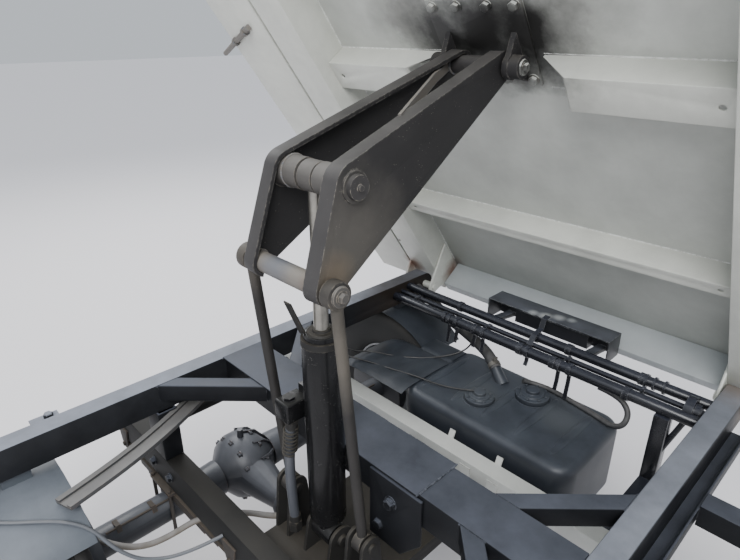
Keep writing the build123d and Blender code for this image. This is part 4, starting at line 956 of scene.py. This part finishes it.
# columns: centre, radius of the screws' circle, height of their seat
for centre, radius, top in (((-1.005, 0.430), 0.034, 0.0915), ((-0.905, 0.545), 0.040, 0.0935)):
    for step in range(FLANGE_SCREWS):
        angle = 2 * math.pi * step / FLANGE_SCREWS + 0.2
        spot = (centre[0] + radius * math.cos(angle), centre[1] + radius * math.sin(angle), top)
        bolt(shape, spot, (0, 0, 1), 0.006, 0.004)
    weld_ring(shape, (*centre, 0.0805), (0, 0, 1), radius + 0.012, 0.0018)
fit("tank_neck_and_screws", shape, tank_plastic, "chassis")

# Worm clamp on the filler hose: a zinc-plated band with its screw across the top, tightened over the hose's
# end on the neck.
shape = bmesh.new()
way = (FILLER[1] - NECK).normalized()
rod(shape, NECK + way * 0.008, NECK + way * 0.020, 0.0188, sides=32)
screw = NECK + way * 0.014 + Vector((0, 0, 0.021))
rod(shape, screw - Vector((0, 0.010, 0)), screw + Vector((0, 0.010, 0)), 0.004, sides=10)
fit("filler_clamp", shape, zinc, "chassis")

# Tail lamps: red moulded lenses, screwed to the lamp bar. A check of small prisms on their faces breaks up
# the shine.
PRISM_MM = 4.55
lens, tree, surface = material("red_lamp_lens")
spot = add(tree, "TexCoord").outputs["Object"]
prism = add(tree, "TexChecker", links={"Vector": spot, "Scale": 1000 / PRISM_MM})
relief = add(tree, "Bump", links={"Height": prism.outputs["Fac"], "Strength": 0.25, "Distance": 0.001})
tree.links.new(relief.outputs["Normal"], surface.inputs["Normal"])
surface.inputs["Base Color"].default_value = linear("8E1A1C")
surface.inputs["Roughness"].default_value = 0.15
for side in ("left", "right"):
    dress("tail_lamp_" + side, lens, 0.001)

# Bed: folded sheet and channels, welded together, with its gates hung on round hinges. Pale grey-green
# enamel with a soft shine, sooty over the hoist and rusty at the hinges.
TIP = next(joint for joint in frame["record"]["behaviour"]["joints"] if joint["name"] == "bed_tip")
HINGE = Vector(TIP["pos_m"])
TIPPED = math.radians(-54)
LOWERED = Matrix.Translation(HINGE) @ Matrix.Rotation(TIPPED, 4, "X") @ Matrix.Translation(-HINGE)
UNDER = 0.345
FLOOR_SKIN = 0.0085
soot = (
    ((-1.158, 0.251, 1.073), 0.13, "6A6862", 0.5), ((-0.800, 0.270, 1.047), 0.15, "6A6862", 0.5),
    ((-1.508, 0.322, 0.975), 0.045, "4A433B", 0.7),
    ((-1.070, 0.285, 1.030), 0.14, "131211", 0.98), ((-0.975, 0.285, 1.030), 0.15, "131211", 0.98),
    ((-0.880, 0.285, 1.030), 0.14, "131211", 0.98),
)
rust = (
    ((-1.415, 0.812, 0.240), 0.060, "6A4029", 0.9), ((-0.665, 0.925, 0.082), 0.030, "8A4A2C", 0.8),
    ((-1.520, 0.725, 0.262), 0.055, "6A4029", 0.9), ((-0.44, 0.80, 0.24), 0.05, "6E5A45", 0.6),
)
floor_enamel = enamel(
    "bed_floor_enamel", "B5B7B1", "A09E94", "6B5140", rough=(0.4, 0.6), top_share=0.2, stains=soot + rust,
    under=True,
)
bed_enamel = enamel(
    "bed_enamel", "C6C7BF", "A5A399", "6B5140", rough=(0.3, 0.5), top_share=0.2, stains=soot + rust, under=True,
)
ear_enamel = enamel(
    "rusted_ear_enamel", "C6C7BF", "A5A399", "6B5140", rough=(0.3, 0.5), top_share=0.2, stains=rust,
)
edge_enamel = enamel(
    "bed_edge_enamel", "A3A8AA", "8F908C", "6B5140", rough=(0.3, 0.5), top_share=0.2, stains=rust, under=True,
)
dress("bed_floor", floor_enamel, 0.001)
# The hoist bracket's own plates are black, and its sole is painted with the floor
FLOOR_POINT = LOWERED @ Vector((0, 0, UNDER))
FLOOR_WAY = LOWERED.to_3x3() @ Vector((0, 0, 1))
dress("bed_hoist_bracket", arm_enamel, 0.0015, patches=(
    (floor_enamel, lambda face: (face.calc_center_median() - FLOOR_POINT).dot(FLOOR_WAY) > -FLOOR_SKIN),
))
dress("bed_hinge_ears", ear_enamel, 0.003, 3)
for node in (
    "bed_sills", "bed_ribs", "headboard", "headboard_posts", "left_gate", "right_gate", "tailgate",
    "gate_hinges",
):
    dress(node, bed_enamel, 0.003, 3)
dress("bed_edge_rails", edge_enamel, 0.006, 4)

# Weld seams under the floor: beads along the ribs' open edges and the sills, laid out on the lowered bed.
# # Their enamel is glossy and painted paler than the bed's, a painted highlight along the seams.
shape = bmesh.new()
# columns: from and to along the truck, place across it
for x_from, x_to, y in (
    (-0.851, -0.50, -0.1665), (-1.42, -1.09, -0.1665), (-0.851, -0.50, -0.0895), (-1.42, -0.50, 0.3460),
    (-1.42, -0.50, 0.3860),
):
    weld(shape, (x_from, y, UNDER), (x_to, y, UNDER), 0.0028)
for x in (-0.435, -0.495, -1.420):
    weld(shape, (x, -0.76, UNDER), (x, 0.72, UNDER), 0.0026)
bmesh.ops.transform(shape, matrix=LOWERED, verts=shape.verts)
# Paler than the bed's enamel, as a painted highlight along the seams
highlight_bead_enamel = enamel(
    "painted_highlight_bead_enamel", "DADBD7", "A5A399", "8A8378", rough=(0.15, 0.3), top_share=0.1, stains=soot, under=True,
)
fit("bed_welds", shape, highlight_bead_enamel, "bed")

# Gate latch on the rear sill: a round hook rod by the hinge with a flat lever on it. Forged steel, dusty
# black as the links are.
shape = bmesh.new()
rod(shape, (-1.521, 0.616, 0.428), (-1.525, 0.676, 0.346), 0.0100, 0.0110)
rod(shape, (-1.525, 0.676, 0.350), (-1.530, 0.702, 0.312), 0.0110, 0.0090)
lever = ((-1.516, 0.644, 0.372), (-1.532, 0.686, 0.338), (-1.528, 0.706, 0.310))
strip(shape, lever, 0.014, 0.003, (1, 0.3, 0))
fit("gate_latch_rod", shape, link_enamel, "bed")

# Round bar that lies on the rear sill and stands out past its edge, with two collars. Painted steel that is
# worn to grey.
shape = bmesh.new()
bar_start = Vector((-1.609, 0.156, 1.0425))
bar_end = Vector((-1.812, 0.2055, 0.9745))
rod(shape, bar_start, bar_end, 0.0080, 0.0070)
for share in (0.12, 0.50):
    collar = bar_start.lerp(bar_end, share)
    rod(shape, collar, collar.lerp(bar_end, 0.06), 0.0115, sides=24)
fit("sill_pin", shape, worn_tube, "bed")

# Bolts of the hoist bracket, laid out on the lowered bed, and the keeper plates of the arm's top pin with
# their bolts. Plated steel, painted over with the floor.
shape = bmesh.new()
for x in (-0.095, -0.035, 0.035, 0.095):
    for y in (-0.274, -0.112):
        bolt(shape, (HOIST_X + x, y, UNDER - 0.006), (0, 0, -1), 0.017, 0.010)
bmesh.ops.transform(shape, matrix=LOWERED, verts=shape.verts)
for side in (1, -1):
    ear = PIVOT_A + Vector((side * 0.106, 0, 0))
    rod(shape, ear, ear + Vector((side * 0.003, 0, 0)), 0.0155, 0.0145, 28)
    bolt(shape, ear + Vector((side * 0.002, 0, 0)), (side, 0, 0), 0.015, 0.008)
fit("bracket_bolts", shape, floor_enamel, "bed")
